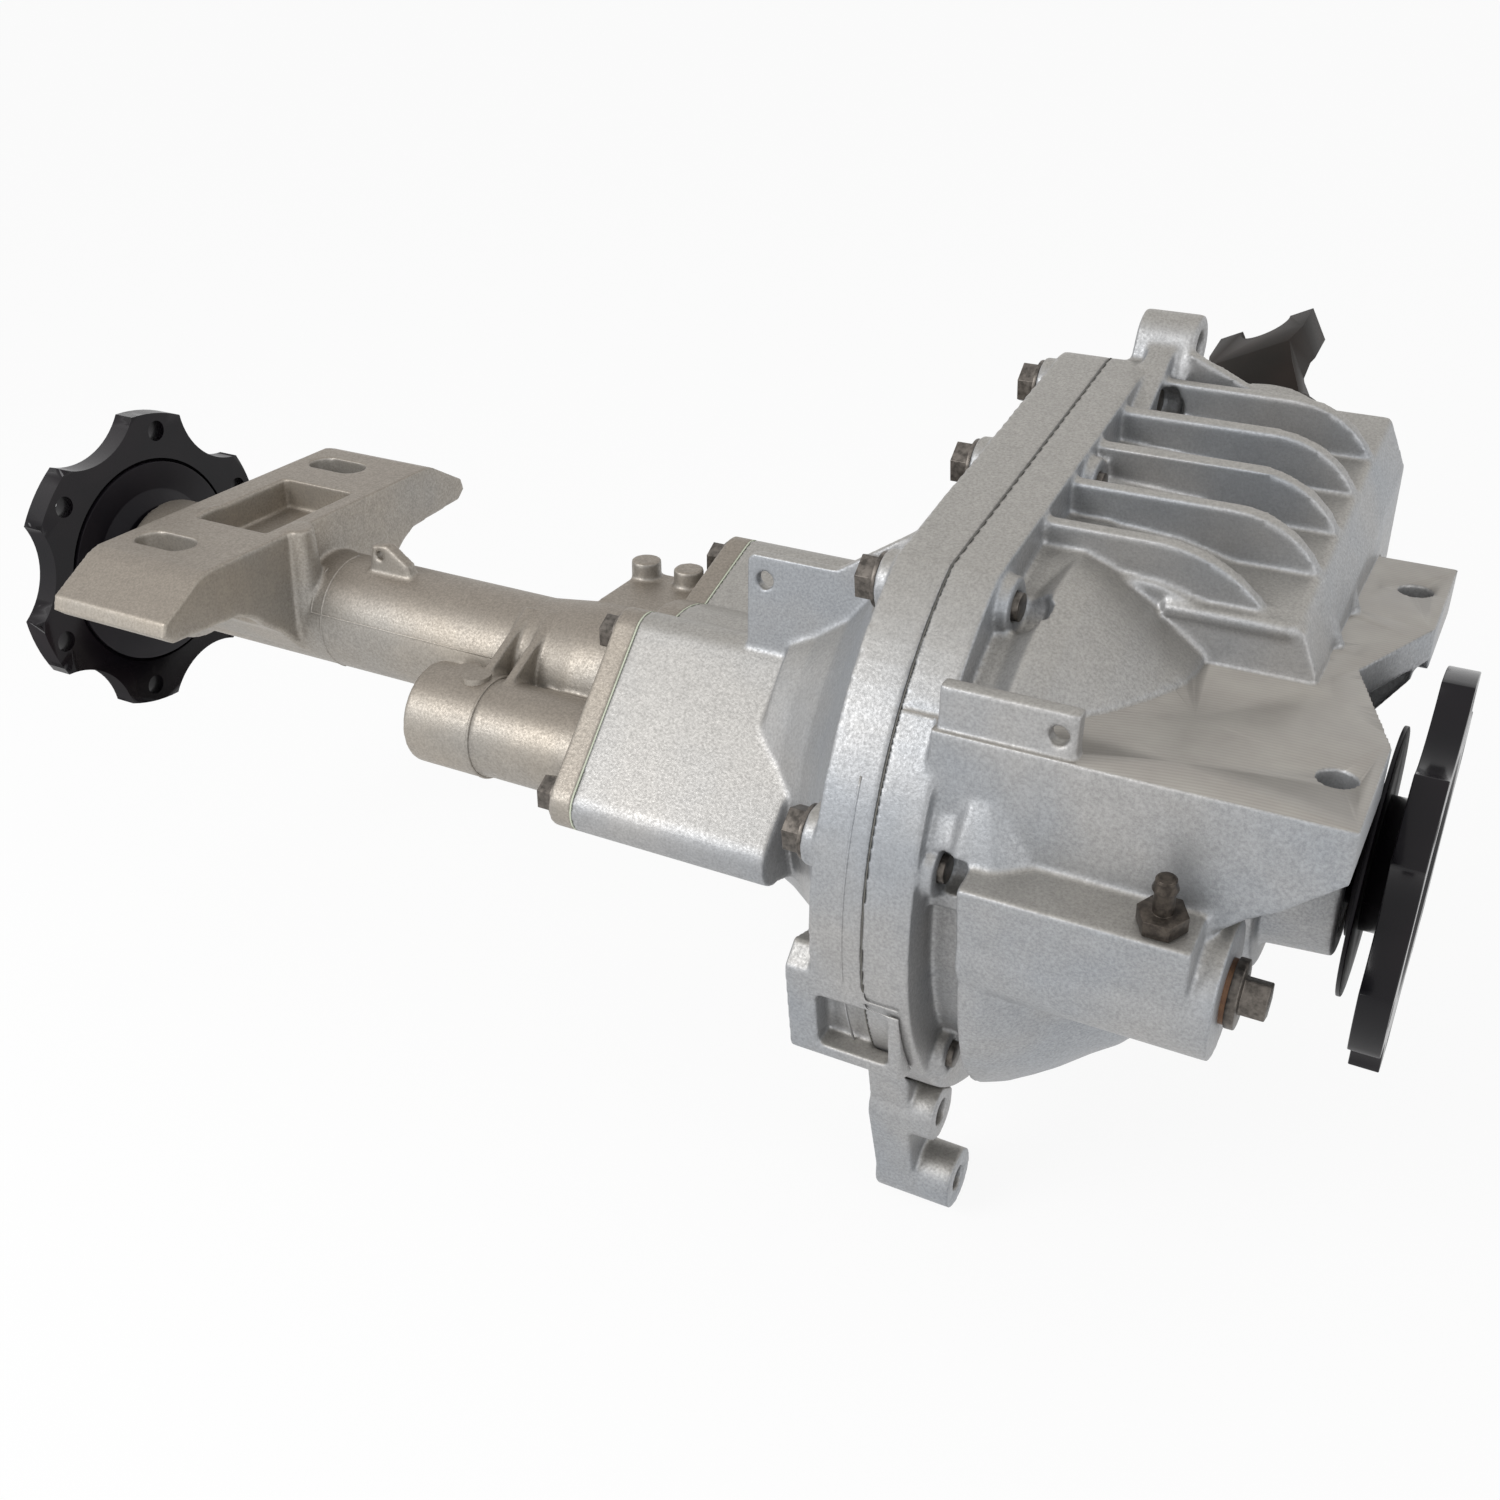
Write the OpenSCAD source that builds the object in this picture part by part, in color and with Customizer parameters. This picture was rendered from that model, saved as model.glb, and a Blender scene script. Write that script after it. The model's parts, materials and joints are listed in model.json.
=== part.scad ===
// Independent front drive axle: a split cast carrier with a hypoid gear set and
// differential, a cast axle tube with a shift-collar disconnect, and two bolted
// output flanges. X runs along the axle line, with 0 on the outer face of the
// short-side flange. +Y points to the propeller shaft and +Z up.

/* [Output flanges] */
// Bolt circle of both output flanges
flange_pcd = 156; // [150:0.5:162]
// Bolt hole diameter in the output flanges
flange_hole_d = 12; // [10:0.2:13]
// Radius of the flange lobes measured from the axle line
flange_lobe_r = 88.5; // [87.5:0.25:92]
// Thickness of an output flange
flange_t = 13; // [11:0.5:15]
// Distance between the outer faces of the two output flanges
axle_len = 744; // [736:1:760]
// Diameter of the output shafts in their bearings
shaft_d = 40; // [36:0.5:41]

/* [Carrier] */
// X position of the joint between the two carrier halves
seam_x = -197; // [-198:0.5:-196]
// Thickness of the joint flange on the right half
rim_right_t = 20.5; // [18:0.5:24]
// Thickness of the joint flange on the left half
rim_left_t = 24; // [20:0.5:26]
// Radius of the joint flange about the axle line
rim_r = 150; // [149:0.5:154]
// Upward tilt of the pinion nose
nose_tilt = 9.8; // [8:0.1:11]
// Height of the flat top of the joint flange, in the tilted direction
rim_top = 141; // [139:0.5:144]
// Diameter of the carrier bolts
bolt_d = 12; // [10:0.5:12.5]
// Radius of the ring gear chamber
chamber_r = 121; // [119:0.5:122]

/* [Mounting shelf] */
// Height of the mounting shelf above the axle line
shelf_z = 86.9; // [85:0.1:90]
// Half width of the mounting shelf
shelf_y = 133.2; // [130:0.5:136]
// Thickness of the shelf at its end
shelf_t = 22; // [18:0.5:26]
// X position of the shelf's outer end
shelf_x = -22; // [-24:0.5:-21]
// Distance of the shelf holes from the middle
shelf_hole_y = 97.3; // [94:0.1:100]
// X position of the shelf holes
shelf_hole_x = -36; // [-38:0.5:-35]
// Diameter of the shelf holes
shelf_hole_d = 15.2; // [13:0.1:16]

/* [Hypoid gear set] */
// Teeth on the ring gear
ring_teeth = 41; // [41:1:41]
// Teeth on the pinion
pinion_teeth = 11; // [11:1:11]
// Outer radius of the ring gear
ring_r = 117; // [115:0.5:118]
// X position of the pinion axis
pinion_x = -138; // [-138.5:0.1:-137.5]
// Height of the pinion axis above the axle line, in the tilted frame
pinion_rise = 38; // [37:0.25:39]

/* [Pinion nose] */
// Distance from the axle line to the end of the nose
nose_end = 262; // [256:1:268]
// Outer radius of the nose at its end
nose_end_r = 50; // [49:0.5:54]
// Radius of the pinion barrel
barrel_r = 63; // [62:0.5:66]
// X position of the barrel's side where it meets the shelf
barrel_x = -58; // [-60:0.5:-56]
// Height of the barrel's flat top
barrel_top = 113; // [110:0.5:118]
// Number of cooling ribs over the barrel
rib_count = 5; // [3:1:5]
// Spacing of the cooling ribs
rib_pitch = 36; // [34:0.5:38]
// Thickness of a cooling rib
rib_t = 7; // [5:0.5:9]
// Radius of the inner pinion bearing cup
cup_in_r = 52; // [50:0.5:53]
// Radius of the outer pinion bearing cup
cup_out_r = 42; // [40:0.5:43]

/* [Differential] */
// Teeth on a side gear
side_teeth = 16; // [16:2:16]
// Teeth on a spider gear
spider_teeth = 10; // [10:2:10]
// Module of the differential gears
diff_module = 4; // [3.9:0.05:4.1]
// Outer radius of the differential case
diff_r = 60; // [58:0.5:62]
// Diameter of the cross shaft
cross_d = 18; // [16:0.5:19]
// Outer radius of the side bearings
side_cup_r = 55; // [54:0.5:57]

/* [Axle tube] */
// Outer diameter of the axle tube
tube_d = 64; // [62:0.5:68]
// X position of the joint between the tube and the carrier
tube_joint_x = -364; // [-366:0.5:-362]
// Thickness of the tube's bolting plate
plate_t = 12; // [10:0.5:14]
// Radius of the collar at the tube's outer end
tube_collar_r = 40; // [38.5:0.5:42]
// Height of the bracket's top face
bracket_z = 54; // [52:0.5:57]
// Half width of the bracket
bracket_y = 126; // [122:0.5:130]
// Length of the bracket along the axle
bracket_len = 78; // [72:0.5:84]
// X position of the bracket's middle
bracket_x = -631; // [-634:0.5:-628]
// Distance of the bracket slots from the middle
slot_y = 69.7; // [66:0.1:73]
// Length of a bracket slot along the axle
slot_len = 37; // [32:0.5:40]
// Width of a bracket slot
slot_w = 19; // [16:0.5:21]

/* [Axle disconnect] */
// Travel of the shift collar
shift_travel = 16; // [14:0.5:17]
// Teeth of the shift collar
clutch_teeth = 24; // [24:12:24]
// Tip radius of the clutch teeth
clutch_r = 22; // [21.5:0.1:22.5]
// Outer radius of the actuator boss
actuator_r = 25.3; // [24:0.1:27]
// Thread diameter of the actuator hole
actuator_hole_d = 30; // [26:0.5:32]

/* [Hidden] */

$fn = 72;
eps = 0.02;
cast = [0.66, 0.66, 0.64];
steel = [0.55, 0.56, 0.58];
dark_steel = [0.27, 0.26, 0.25];
black = [0.08, 0.07, 0.09];

// Fits: fit is a push fit or light running clearance, gap a free running gap
fit = 0.05;
gap = 0.3;

// Derived places along the axle line
shaft_r = shaft_d / 2;
rim_right_x = seam_x + rim_right_t;
rim_left_x = seam_x - rim_left_t;
seal_t = 0.4;
gasket_t = 0.8;
plate_x = tube_joint_x - plate_t;
long_face = -axle_len;
long_in = long_face + flange_t;
tube_end = long_in + 15;
gallery_r = 28;
gallery_y = -122;
gallery_z = 23;
gallery_end = -57;
gallery_top = 61;
vent = [-81, -137];
fill_r = 9;

// Helpers: a cylinder along X from x0 to x1, and the same with a hole
module xcyl(x0, x1, r) {
    translate([x0, 0, 0]) rotate([0, 90, 0]) cylinder(h = x1 - x0, r = r);
}

module xcone(x0, x1, r0, r1) {
    translate([x0, 0, 0]) rotate([0, 90, 0]) cylinder(h = x1 - x0, r1 = r0, r2 = r1);
}

module xring(x0, x1, r, hole) {
    difference() {
        xcyl(x0, x1, r);
        xcyl(x0 - 1, x1 + 1, hole);
    }
}

// The tilted frame of the nose: Y along the pinion, Z square to it
module tilted() {
    rotate([nose_tilt, 0, 0]) children();
}

// The pinion's own frame: origin on its axis beside the axle line, Z along the pinion
module pinion_line() {
    translate([pinion_x, 0, pinion_rise]) rotate([-90, 0, 0]) children();
}

module pinion_frame() {
    tilted() pinion_line() children();
}

module along_pinion(y0, y1, r) {
    pinion_frame() translate([0, 0, y0]) cylinder(h = y1 - y0, r = r);
}

module pinion_ring(y0, y1, r, hole) {
    difference() {
        along_pinion(y0, y1, r);
        along_pinion(y0 - 1, y1 + 1, hole);
    }
}

// A plate square to X, drawn with Y to the right and Z up
module yz_plate(x0, x1) {
    translate([x0, 0, 0]) rotate([90, 0, 90]) linear_extrude(height = x1 - x0) children();
}

// A plate square to Y, drawn with X to the right and Z up
module xz_plate(y0, y1) {
    translate([0, y1, 0]) rotate([90, 0, 0]) linear_extrude(height = y1 - y0) children();
}

module disc(p, r) {
    translate(p) circle(r = r);
}

// A straight bar between two points with round ends
module bar(a, b, r) {
    d = b - a;
    disc(a, r);
    disc(b, r);
    translate(a) rotate(atan2(d[1], d[0])) translate([0, eps - r]) square([norm(d), 2 * (r - eps)]);
}

// A hexagon whose flats are af apart
module hexagon(af, h) {
    cylinder(h = h, r = af / 2 / cos(30), $fn = 6);
}

// Carrier bolts: places in the tilted frame, with Y to the right and Z up
bolt_r = rim_r - 15;
bolt_angles = [158.8, 211.2, 250, 289, 325];
top_bolt_z = rim_top - 16;
rim_corner = 163;
bolt_places = concat(
    [for (a = bolt_angles) bolt_r * [cos(a), sin(a)]],
    [[-48, top_bolt_z], [58, top_bolt_z], [147, top_bolt_z], [150, 92], [146, -22]]
);
boss_r = 13.5;
dowel_angles = [184, 350];
tip_x = rim_right_x + 8;

// Points on an arc, for outlines made of one polygon
function arc(c, r, a0, a1, n = 8) = [for (i = [0 : n]) c + r * [cos(a0 + (a1 - a0) * i / n), sin(a0 + (a1 - a0) * i / n)]];

// Outline of the carrier joint, in the tilted frame: round below, flat on top
module rim_outline() {
    flat_start = 180 - asin(rim_top / rim_r);
    polygon(concat(
        arc([0, 0], rim_r, flat_start, 332, 60), [[rim_corner, -10]],
        arc([rim_corner - 12, rim_top - 12], 12, 0, 90)
    ));
}

// Carrier, right half
tunnel_end = shelf_x - 7;
// The dome bulges towards the front, so it is turned about a line in front of the axle
dome_shift = -28;
dome_profile = [
    [seam_x, 0], [seam_x, 118], [-167, 118], [-158, 124.5], [-146, 120], [-136, 114], [-127, 108],
    [-114, 97.5], [-104, 90.5], [-98, 84], [-88, 72], [-76, 60], [-76, 0]
];
// Its back follows the ring gear about the axle line itself
chamber_wall = 5.5;
back_profile = [
    [seam_x, 0], [seam_x, chamber_r + chamber_wall], [-157, chamber_r + chamber_wall],
    [-143, 116], [-128, 102], [-112, 88], [-100, 78], [-86, 72], [-70, 62], [-60, 58],
    [-60, 46], [tunnel_end, 44], [tunnel_end, 0]
];
right_cup_x = [-102, -80];
right_adjuster_x = [right_cup_x[1] + fit, right_cup_x[1] + 12];
pinion_in = [120, 148];
pinion_out = [216, 240];
head_y = [73, 109];
rib_top = rim_top - 3.5;
rib_bend_r = 42.5;
first_rib_bend_r = 61;
barrel_draft = 9;
barrel_edge = barrel_x - barrel_draft;
near_wall_y = -24;

module spun(profile) {
    rotate([0, 90, 0]) rotate_extrude($fn = 120)
        polygon([for (p = profile) [p[1], p[0]]]);
}

module shelf_outline() {
    polygon([
        [rim_right_x - 4, -shelf_y], [shelf_x, -shelf_y], [shelf_x, -63.7],
        [shelf_x - 22.5, 0], [shelf_x, 58.2], [shelf_x, shelf_y], [rim_right_x - 4, shelf_y]
    ]);
}

// The shelf's front and back walls, cut off on a slope towards the outer end
module shelf_wall(y0, y1) {
    xz_plate(y0, y1) polygon([
        [rim_right_x - 4, 8], [-90, 8], [-54, 40], [-43, 47],
        [shelf_x, shelf_z - shelf_t], [shelf_x, shelf_z], [rim_right_x - 4, shelf_z]
    ]);
}

module shelf() {
    translate([0, 0, shelf_z - 16]) linear_extrude(height = 16) shelf_outline();
    translate([0, 0, shelf_z - shelf_t]) linear_extrude(height = shelf_t) intersection() {
        shelf_outline();
        union() {
            translate([shelf_x - 30, -shelf_y]) square([30, 70]);
            translate([shelf_x - 30, shelf_y - 70]) square([30, 70]);
        }
    }
    shelf_wall(-shelf_y, -shelf_y + 14);
    shelf_wall(shelf_y - 14, shelf_y);
    for (y = [-52, 46]) xz_plate(y, y + 8) polygon([
        [-100, 20], [shelf_x - 22, 40], [shelf_x - 5, 66], [shelf_x - 5, shelf_z - 2],
        [-100, shelf_z - 2]
    ]);
}

// One cooling rib: flat on top, bent down to the barrel's edge; its foot is foot_x
module rib(y, foot_x, bend_r) {
    drop = rib_top - barrel_top + 4;
    bend = [foot_x - sqrt(2 * bend_r * drop - drop * drop), rib_top - bend_r];
    low = asin((bend_r - drop) / bend_r);
    xz_plate(y, y + rib_t) polygon(concat(
        arc(bend, bend_r, low, 90, 12),
        [[rim_right_x - 4, rib_top], [rim_right_x - 4, 60], [foot_x - 8, 60]]
    ));
}

// A gusset that carries a rib's line on down the barrel's side to the shelf
module side_gusset(y, top) {
    xz_plate(y, y + 6) polygon([
        [barrel_x - 14, shelf_z - 6], [barrel_x + 4, shelf_z - 6], [barrel_x + 4, shelf_z + 1],
        [barrel_edge + 1, top], [barrel_x - 14, top]
    ]);
}

module nose() {
    rib_start = -1;
    barrel_end = rib_start + rib_count * rib_pitch + 12;
    // Flat-sided block around the barrel: its side leans out towards the shelf
    xz_plate(-4, barrel_end) polygon([
        [barrel_x, 30], [barrel_x, shelf_z + 2], [barrel_edge, barrel_top - 2],
        [barrel_edge - 2, barrel_top], [-104, barrel_top], [-126, barrel_top + 6],
        [rim_right_x - 4, barrel_top + 10], [rim_right_x - 4, 30]
    ]);
    rib(rib_start, barrel_edge - 12, first_rib_bend_r);
    for (i = [1 : rib_count - 1]) rib(rib_start + i * rib_pitch, barrel_edge, rib_bend_r);
    pinion_line() {
        translate([0, 0, 40]) cylinder(h = barrel_end - 40, r = barrel_r);
        translate([0, 0, barrel_end - 1]) cylinder(h = 26, r1 = barrel_r, r2 = nose_end_r);
        translate([0, 0, barrel_end + 24]) cylinder(h = nose_end - barrel_end - 24, r = nose_end_r);
        translate([0, 0, nose_end - 18]) cylinder(h = 6, r = nose_end_r + 4);
    }
}

// The barrel's near wall stands upright on the shelf, with a rounded ledge on its top edge
module near_wall() {
    top = barrel_top - 4.5;
    xz_plate(near_wall_y, near_wall_y + 30) polygon([
        [-124, 62], [barrel_x + 0.5, 62], [barrel_x + 0.5, shelf_z + 2.6],
        [barrel_edge + 1.6, top], [-124, top]
    ]);
    translate([0, near_wall_y + 1, top - 0.7]) xcyl(-122, barrel_edge - 4, 3.7);
}

ear_place = [176.7, 142];
ear_r = 15;
ear_x = [seam_x + 9, seam_x + 38];

module top_ear() {
    yz_plate(ear_x[0], ear_x[1]) bar(ear_place, [154, 108], ear_r);
    yz_plate(ear_x[0] + 8, ear_x[1] - 8) polygon([[120, 132], [170, 150], [190, 110], [150, 90]]);
    // Slanted web from the ear over the barrel
    xz_plate(158, 164) polygon([
        [ear_x[0] + 6, 90], [ear_x[1], ear_place[1] + 4], [-88, barrel_top + 1], [-88, 90]
    ]);
}

module gallery() {
    front = gallery_y - gallery_r + 1.5;
    foot = gallery_z - 9;
    translate([0, gallery_y, gallery_z]) xcyl(rim_right_x - 4, gallery_end, gallery_r);
    translate([rim_right_x - 4, front, foot])
        cube([gallery_end - 10 - rim_right_x + 4, 60, gallery_top - foot]);
}

// Channel that keeps the belly and the gallery away from the front bolts of the joint
module bolt_channel() {
    inner_r = chamber_r + chamber_wall + 0.6;
    reach = rim_r + 40;
    x = [rim_right_x - 5, rim_right_x + 19.5];
    intersection() {
        translate([x[0], -reach, -reach])
            cube([x[1] - x[0], reach - 25, reach + gallery_top + 0.7]);
        difference() {
            xcyl(x[0] - 5, x[1] + 10, reach);
            xcyl(x[0] - 6, x[1] + 11, inner_r);
        }
    }
}

module case_right_body() {
    tilted() {
        yz_plate(seam_x + seal_t / 2, rim_right_x) rim_outline();
        nose();
        top_ear();
        for (p = bolt_places) translate([0, p[0], p[1]])
            xcyl(rim_right_x - 1, rim_right_x + 6, boss_r - 1);
    }
    difference() {
        union() {
            tilted() gallery();
            intersection() {
                translate([0, dome_shift, 0]) spun(dome_profile);
                xcyl(seam_x - 5, 5, rim_r - 2.5);
            }
        }
        tilted() bolt_channel();
    }
    spun(back_profile);
    shelf();
    near_wall();
    side_gusset(near_wall_y + 40, 113);
    side_gusset(near_wall_y + 80, 119);
    // Small upright tab behind the shelf's front edge
    xz_plate(tab_y, tab_y + 8) difference() {
        translate([rim_right_x - 2, shelf_z - 14]) square([55, 33]);
        disc([-131, shelf_z + 8.5], 4);
    }
}
tab_y = -shelf_y + 2.2;

module case_right() {
    color(cast) difference() {
        intersection() {
            case_right_body();
            translate([seam_x + seal_t / 2, -400, -400]) cube([400, 800, 800]);
        }
        // Ring gear chamber, differential chamber and the tunnel of the output shaft
        spun([
            [seam_x - 1, 0], [seam_x - 1, chamber_r], [-159, chamber_r], [-146, 108],
            [-130, 90], [-112, 74], [right_cup_x[0], 66], [right_cup_x[0], 0]
        ]);
        xcyl(right_cup_x[0] - 1, right_adjuster_x[1] + 1, side_cup_r + fit);
        xcyl(right_adjuster_x[1], shelf_x + 1, shaft_r + 8 + fit);
        xcyl(short_seal_x[0], shelf_x, shaft_r + 14 + fit);
        // Pinion head clearance, bearing seats and the nose bore
        along_pinion(50, pinion_in[0] + 1, 43);
        along_pinion(pinion_in[0], pinion_in[1], cup_in_r + fit);
        along_pinion(pinion_in[1] - 1, pinion_out[0] + 1, cup_out_r - 7);
        along_pinion(pinion_out[0], nose_end + 1, cup_out_r + fit);
        // Bolt holes, shelf holes, ear bore, fill hole and vent thread
        tilted() {
            for (p = bolt_places) translate([0, p[0], p[1]])
                xcyl(seam_x - 1, rim_right_x + 20, bolt_d / 2 + fit);
            // Pockets that free the bolt tips where the dome or the gallery reaches over them
            for (p = bolt_places) translate([0, p[0], p[1]])
                xcyl(rim_right_x + 6, rim_right_x + 17, bolt_d / 2 + 4.5);
            translate([0, ear_place[0], ear_place[1]]) xcyl(ear_x[0] - 1, ear_x[1] + 1, 7);
            translate([0, gallery_y, gallery_z]) xcyl(gallery_end - 30, gallery_end + 1, fill_r + fit);
            translate([vent[0], vent[1], 46]) cylinder(h = 40, r = 5 + fit);
            for (a = dowel_angles) translate([0, bolt_r * cos(a), bolt_r * sin(a)])
                xcyl(seam_x - 1, seam_x + 9, 5 + fit);
        }
        for (y = [-shelf_hole_y, shelf_hole_y]) translate([shelf_hole_x, y, 0])
            cylinder(h = 200, r = shelf_hole_d / 2);
        // The shelf is notched through between its two arms
        translate([0, 0, 60]) linear_extrude(height = 60) polygon([
            [shelf_x + 1, -63.7], [shelf_x - 22.5, 0], [shelf_x + 1, 58.2]
        ]);
    }
}

// Carrier, left half
tube_bolts_yz = [[-95.5, -16.6], [-36, 44], [72, 43.5], [58, -58]];
tube_boss_r = 14;
hub_r = 46;
actuator = [-56.2, -14.6];
left_cup_x = [-236, -212];
left_adjuster_x = [left_cup_x[0] - 12, left_cup_x[0] - fit];
snout_end = tube_joint_x + gasket_t;
leg_x = [-210, -190];
leg_ears = [[-87, -137, 14, -178], [-72, -188, 15, -172]];
leg_hole_r = 6.5;

// Outline of the tube joint: hub, actuator pocket and four bolt lobes
module tube_joint_outline() {
    lobe = tube_bolts_yz;
    r = tube_boss_r;
    polygon(concat(
        arc(lobe[2], r, -50, 115), arc([0, 0], hub_r, 62, 100, 4), arc(lobe[1], r, 60, 140),
        arc(lobe[0], r, 140, 275), arc(actuator, actuator_r + 4, 235, 285, 5),
        arc([0, 0], hub_r, 250, 290, 4), arc(lobe[3], r, 215, 390), arc([0, 0], hub_r, -25, 22, 5)
    ));
}

// Upright lug on the front of the joint flange, with a window in it
lug_x = [rim_left_x - 12, rim_right_x - 4];
lug_z = [-56, -8];

module lug() {
    tilted() yz_plate(lug_x[0], lug_x[1]) polygon([
        [-140, lug_z[1] + 8], [-rim_r - 0.5, lug_z[1]], [-rim_r - 0.5, lug_z[0]],
        [-143, lug_z[0] - 6], [-112, lug_z[0] - 10], [-100, -20]
    ]);
}

module leg() {
    yz_plate(leg_x[0], leg_x[1]) polygon(concat(
        [[-106, -104], [-99, -132]],
        arc([leg_ears[0][0] + 1, leg_ears[0][1] - 4], leg_ears[0][2], 150, 185, 3),
        arc([leg_ears[1][0], leg_ears[1][1]], leg_ears[1][2], 165, 370, 10),
        [[leg_ears[0][0] + 14, leg_ears[0][1]], [-40, -118], [-40, -100]]
    ));
    for (e = leg_ears) translate([0, e[0], e[1]]) xcyl(leg_x[0], e[3], e[2]);
}

module case_left_body() {
    tilted() {
        yz_plate(rim_left_x, seam_x - seal_t / 2) rim_outline();
        for (p = bolt_places) translate([0, p[0], p[1]])
            xcyl(rim_left_x - 7, rim_left_x + 1, boss_r);
    }
    spun([
        [rim_left_x + 1, 0], [rim_left_x + 1, rim_r - 8], [-232, 124], [-242, 106],
        [-254, 92], [-270, 82], [-284, 76], [-284, 0]
    ]);
    yz_plate(snout_end, -262) tube_joint_outline();
    // Upright web with a hole, running back to the joint flange
    xz_plate(-43, -37) difference() {
        polygon([[-306, 40], [-306, 100], [-303, 103], [-262, 103], [rim_left_x + 2, 132],
                 [rim_left_x + 2, 40]]);
        disc([-297, 91], 4.2);
    }
    lug();
    leg();
}

module case_left() {
    color(cast) difference() {
        case_left_body();
        spun([
            [seam_x + 1, 0], [seam_x + 1, chamber_r], [seam_x - 8, chamber_r],
            [rim_left_x - 1, 108], [rim_left_x - 1, 68], [left_cup_x[1] - 1, 62], [left_cup_x[1] - 1, 0]
        ]);
        xcyl(left_adjuster_x[0] - 1, left_cup_x[1] + 1, side_cup_r + fit);
        xcyl(-314, left_cup_x[0], shaft_r);
        xcyl(inner_bearing_x[0], left_cup_x[0], shaft_in_r + 8 + fit);
        // Room for the shift collar and its fork
        yz_plate(snout_end - 1, -312) {
            circle(r = 39);
            bar([0, 0], actuator, 20);
        }
        translate([0, actuator[0], actuator[1]]) xcyl(-324, -296, 8 + fit);
        tilted() {
            for (p = bolt_places) translate([0, p[0], p[1]]) {
                xcyl(rim_left_x - 20, seam_x + 1, bolt_d / 2 + fit);
                xcyl(rim_left_x - 26, rim_left_x - 7, boss_r);
            }
            for (a = dowel_angles) translate([0, bolt_r * cos(a), bolt_r * sin(a)])
                xcyl(seam_x - 9, seam_x + 1, 5 + fit);
        }
        for (p = tube_bolts_yz) translate([0, p[0], p[1]])
            xcyl(snout_end - 1, snout_end + 32, 6 + fit);
        for (e = leg_ears) translate([0, e[0], e[1]])
            xcyl(leg_x[0] - 30, e[3] + 1, leg_hole_r);
        // The lug and the leg reach past the joint only outside the right half's rim
        tilted() yz_plate(seam_x - seal_t / 2, 0) circle(r = rim_r + 0.6, $fn = 120);
        // Window in the lug
        tilted() translate([lug_x[0] + 14, -rim_r - 10, lug_z[0] + 6])
            cube([lug_x[1] - lug_x[0] - 20, 21, lug_z[1] - lug_z[0] - 18]);
    }
}

// Thin sealant between the carrier halves
module case_gasket() {
    color([0.2, 0.22, 0.2]) tilted() difference() {
        yz_plate(seam_x - seal_t / 2, seam_x + seal_t / 2) rim_outline();
        xcyl(seam_x - 1, seam_x + 1, chamber_r);
        for (p = bolt_places) translate([0, p[0], p[1]])
            xcyl(seam_x - 1, seam_x + 1, bolt_d / 2 + fit);
        for (a = dowel_angles) translate([0, bolt_r * cos(a), bolt_r * sin(a)])
            xcyl(seam_x - 1, seam_x + 1, 5 + fit);
    }
}

module tube_gasket() {
    color([0.55, 0.62, 0.56]) yz_plate(tube_joint_x, tube_joint_x + gasket_t) difference() {
        tube_joint_outline();
        circle(r = 39);
        bar([0, 0], actuator, 20);
        for (p = tube_bolts_yz) disc(p, 6 + fit);
    }
}

// One hex flange bolt along +X with its head's underside at x
module hex_bolt(x, shank, af, d, head) {
    xcyl(x, x + shank, d / 2);
    translate([x - 2, 0, 0]) xcyl(0, 2, af / 2 + 3);
    translate([x - 2, 0, 0]) rotate([0, -90, 0]) hexagon(af, head);
}

module case_bolts() {
    color(dark_steel) tilted() for (p = bolt_places) translate([0, p[0], p[1]])
        hex_bolt(rim_left_x - 7, tip_x - rim_left_x + 7, 18, bolt_d, 8);
}

module tube_bolts() {
    color(dark_steel) for (p = tube_bolts_yz) translate([0, p[0], p[1]])
        hex_bolt(plate_x, plate_t + 28, 16, 12, 8);
}

module dowels() {
    color(steel) tilted() for (a = dowel_angles)
        translate([0, bolt_r * cos(a), bolt_r * sin(a)]) xcyl(seam_x - 8, seam_x + 8, 5);
}

module vent_fitting() {
    seat = 61.6;
    color(dark_steel) tilted() translate([vent[0], vent[1], seat]) {
        translate([0, 0, -12]) cylinder(h = 12, r = 5);
        hexagon(17, 7);
        translate([0, 0, 6.5]) cylinder(h = 16, r = 4);
        translate([0, 0, 18]) cylinder(h = 5, r1 = 5, r2 = 3.4);
    }
}

module fill_plug() {
    color(dark_steel) tilted() translate([0, gallery_y, gallery_z]) {
        xcyl(gallery_end - 14, gallery_end + 2, fill_r);
        xcyl(gallery_end + 2, gallery_end + 6, 14);
        translate([gallery_end + 5, 0, 0]) rotate([0, 90, 0]) hexagon(14, 11);
    }
}

module fill_washer() {
    color([0.7, 0.45, 0.3]) tilted() translate([0, gallery_y, gallery_z])
        xring(gallery_end, gallery_end + 2, 13, fill_r + fit);
}

// Hypoid set: tooth lines of the ring run to the axle line, and the pinion's teeth
// are slanted so that they lie along them where the two gears meet
mesh_y = (head_y[0] + head_y[1]) / 2;
mesh_a = atan2(pinion_rise, mesh_y);
mesh_r = sqrt(mesh_y * mesh_y + pinion_rise * pinion_rise);
gear_ratio = ring_teeth / pinion_teeth;
pinion_pitch_r = mesh_r / gear_ratio / cos(mesh_a);
cone_slope = (1 - pow(tan(mesh_a), 2)) / gear_ratio;
ring_slope = cone_slope / cos(mesh_a);
ring_tilt = atan(ring_slope);
ring_pitch_x = pinion_x - pinion_pitch_r;
tooth_pitch = 2 * PI * mesh_r / ring_teeth;
tooth_add = 2.1;
tooth_ded = 4.7;
ring_bore = 76;
ring_back = seam_x - 1;

// A tooth bar: its section at the outer end, run inwards along Z and tapered
module tooth(len, w, taper, add, ded) {
    side = 0.36;
    linear_extrude(height = len, scale = taper) polygon([
        [-w / 2 - ded * side, -ded], [w / 2 + ded * side, -ded],
        [w / 2 - add * side, add], [-w / 2 + add * side, add]
    ]);
}

ring_bolt_r = 92;
ring_bolts_n = 12;
diff_flange_t = 11;

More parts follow.
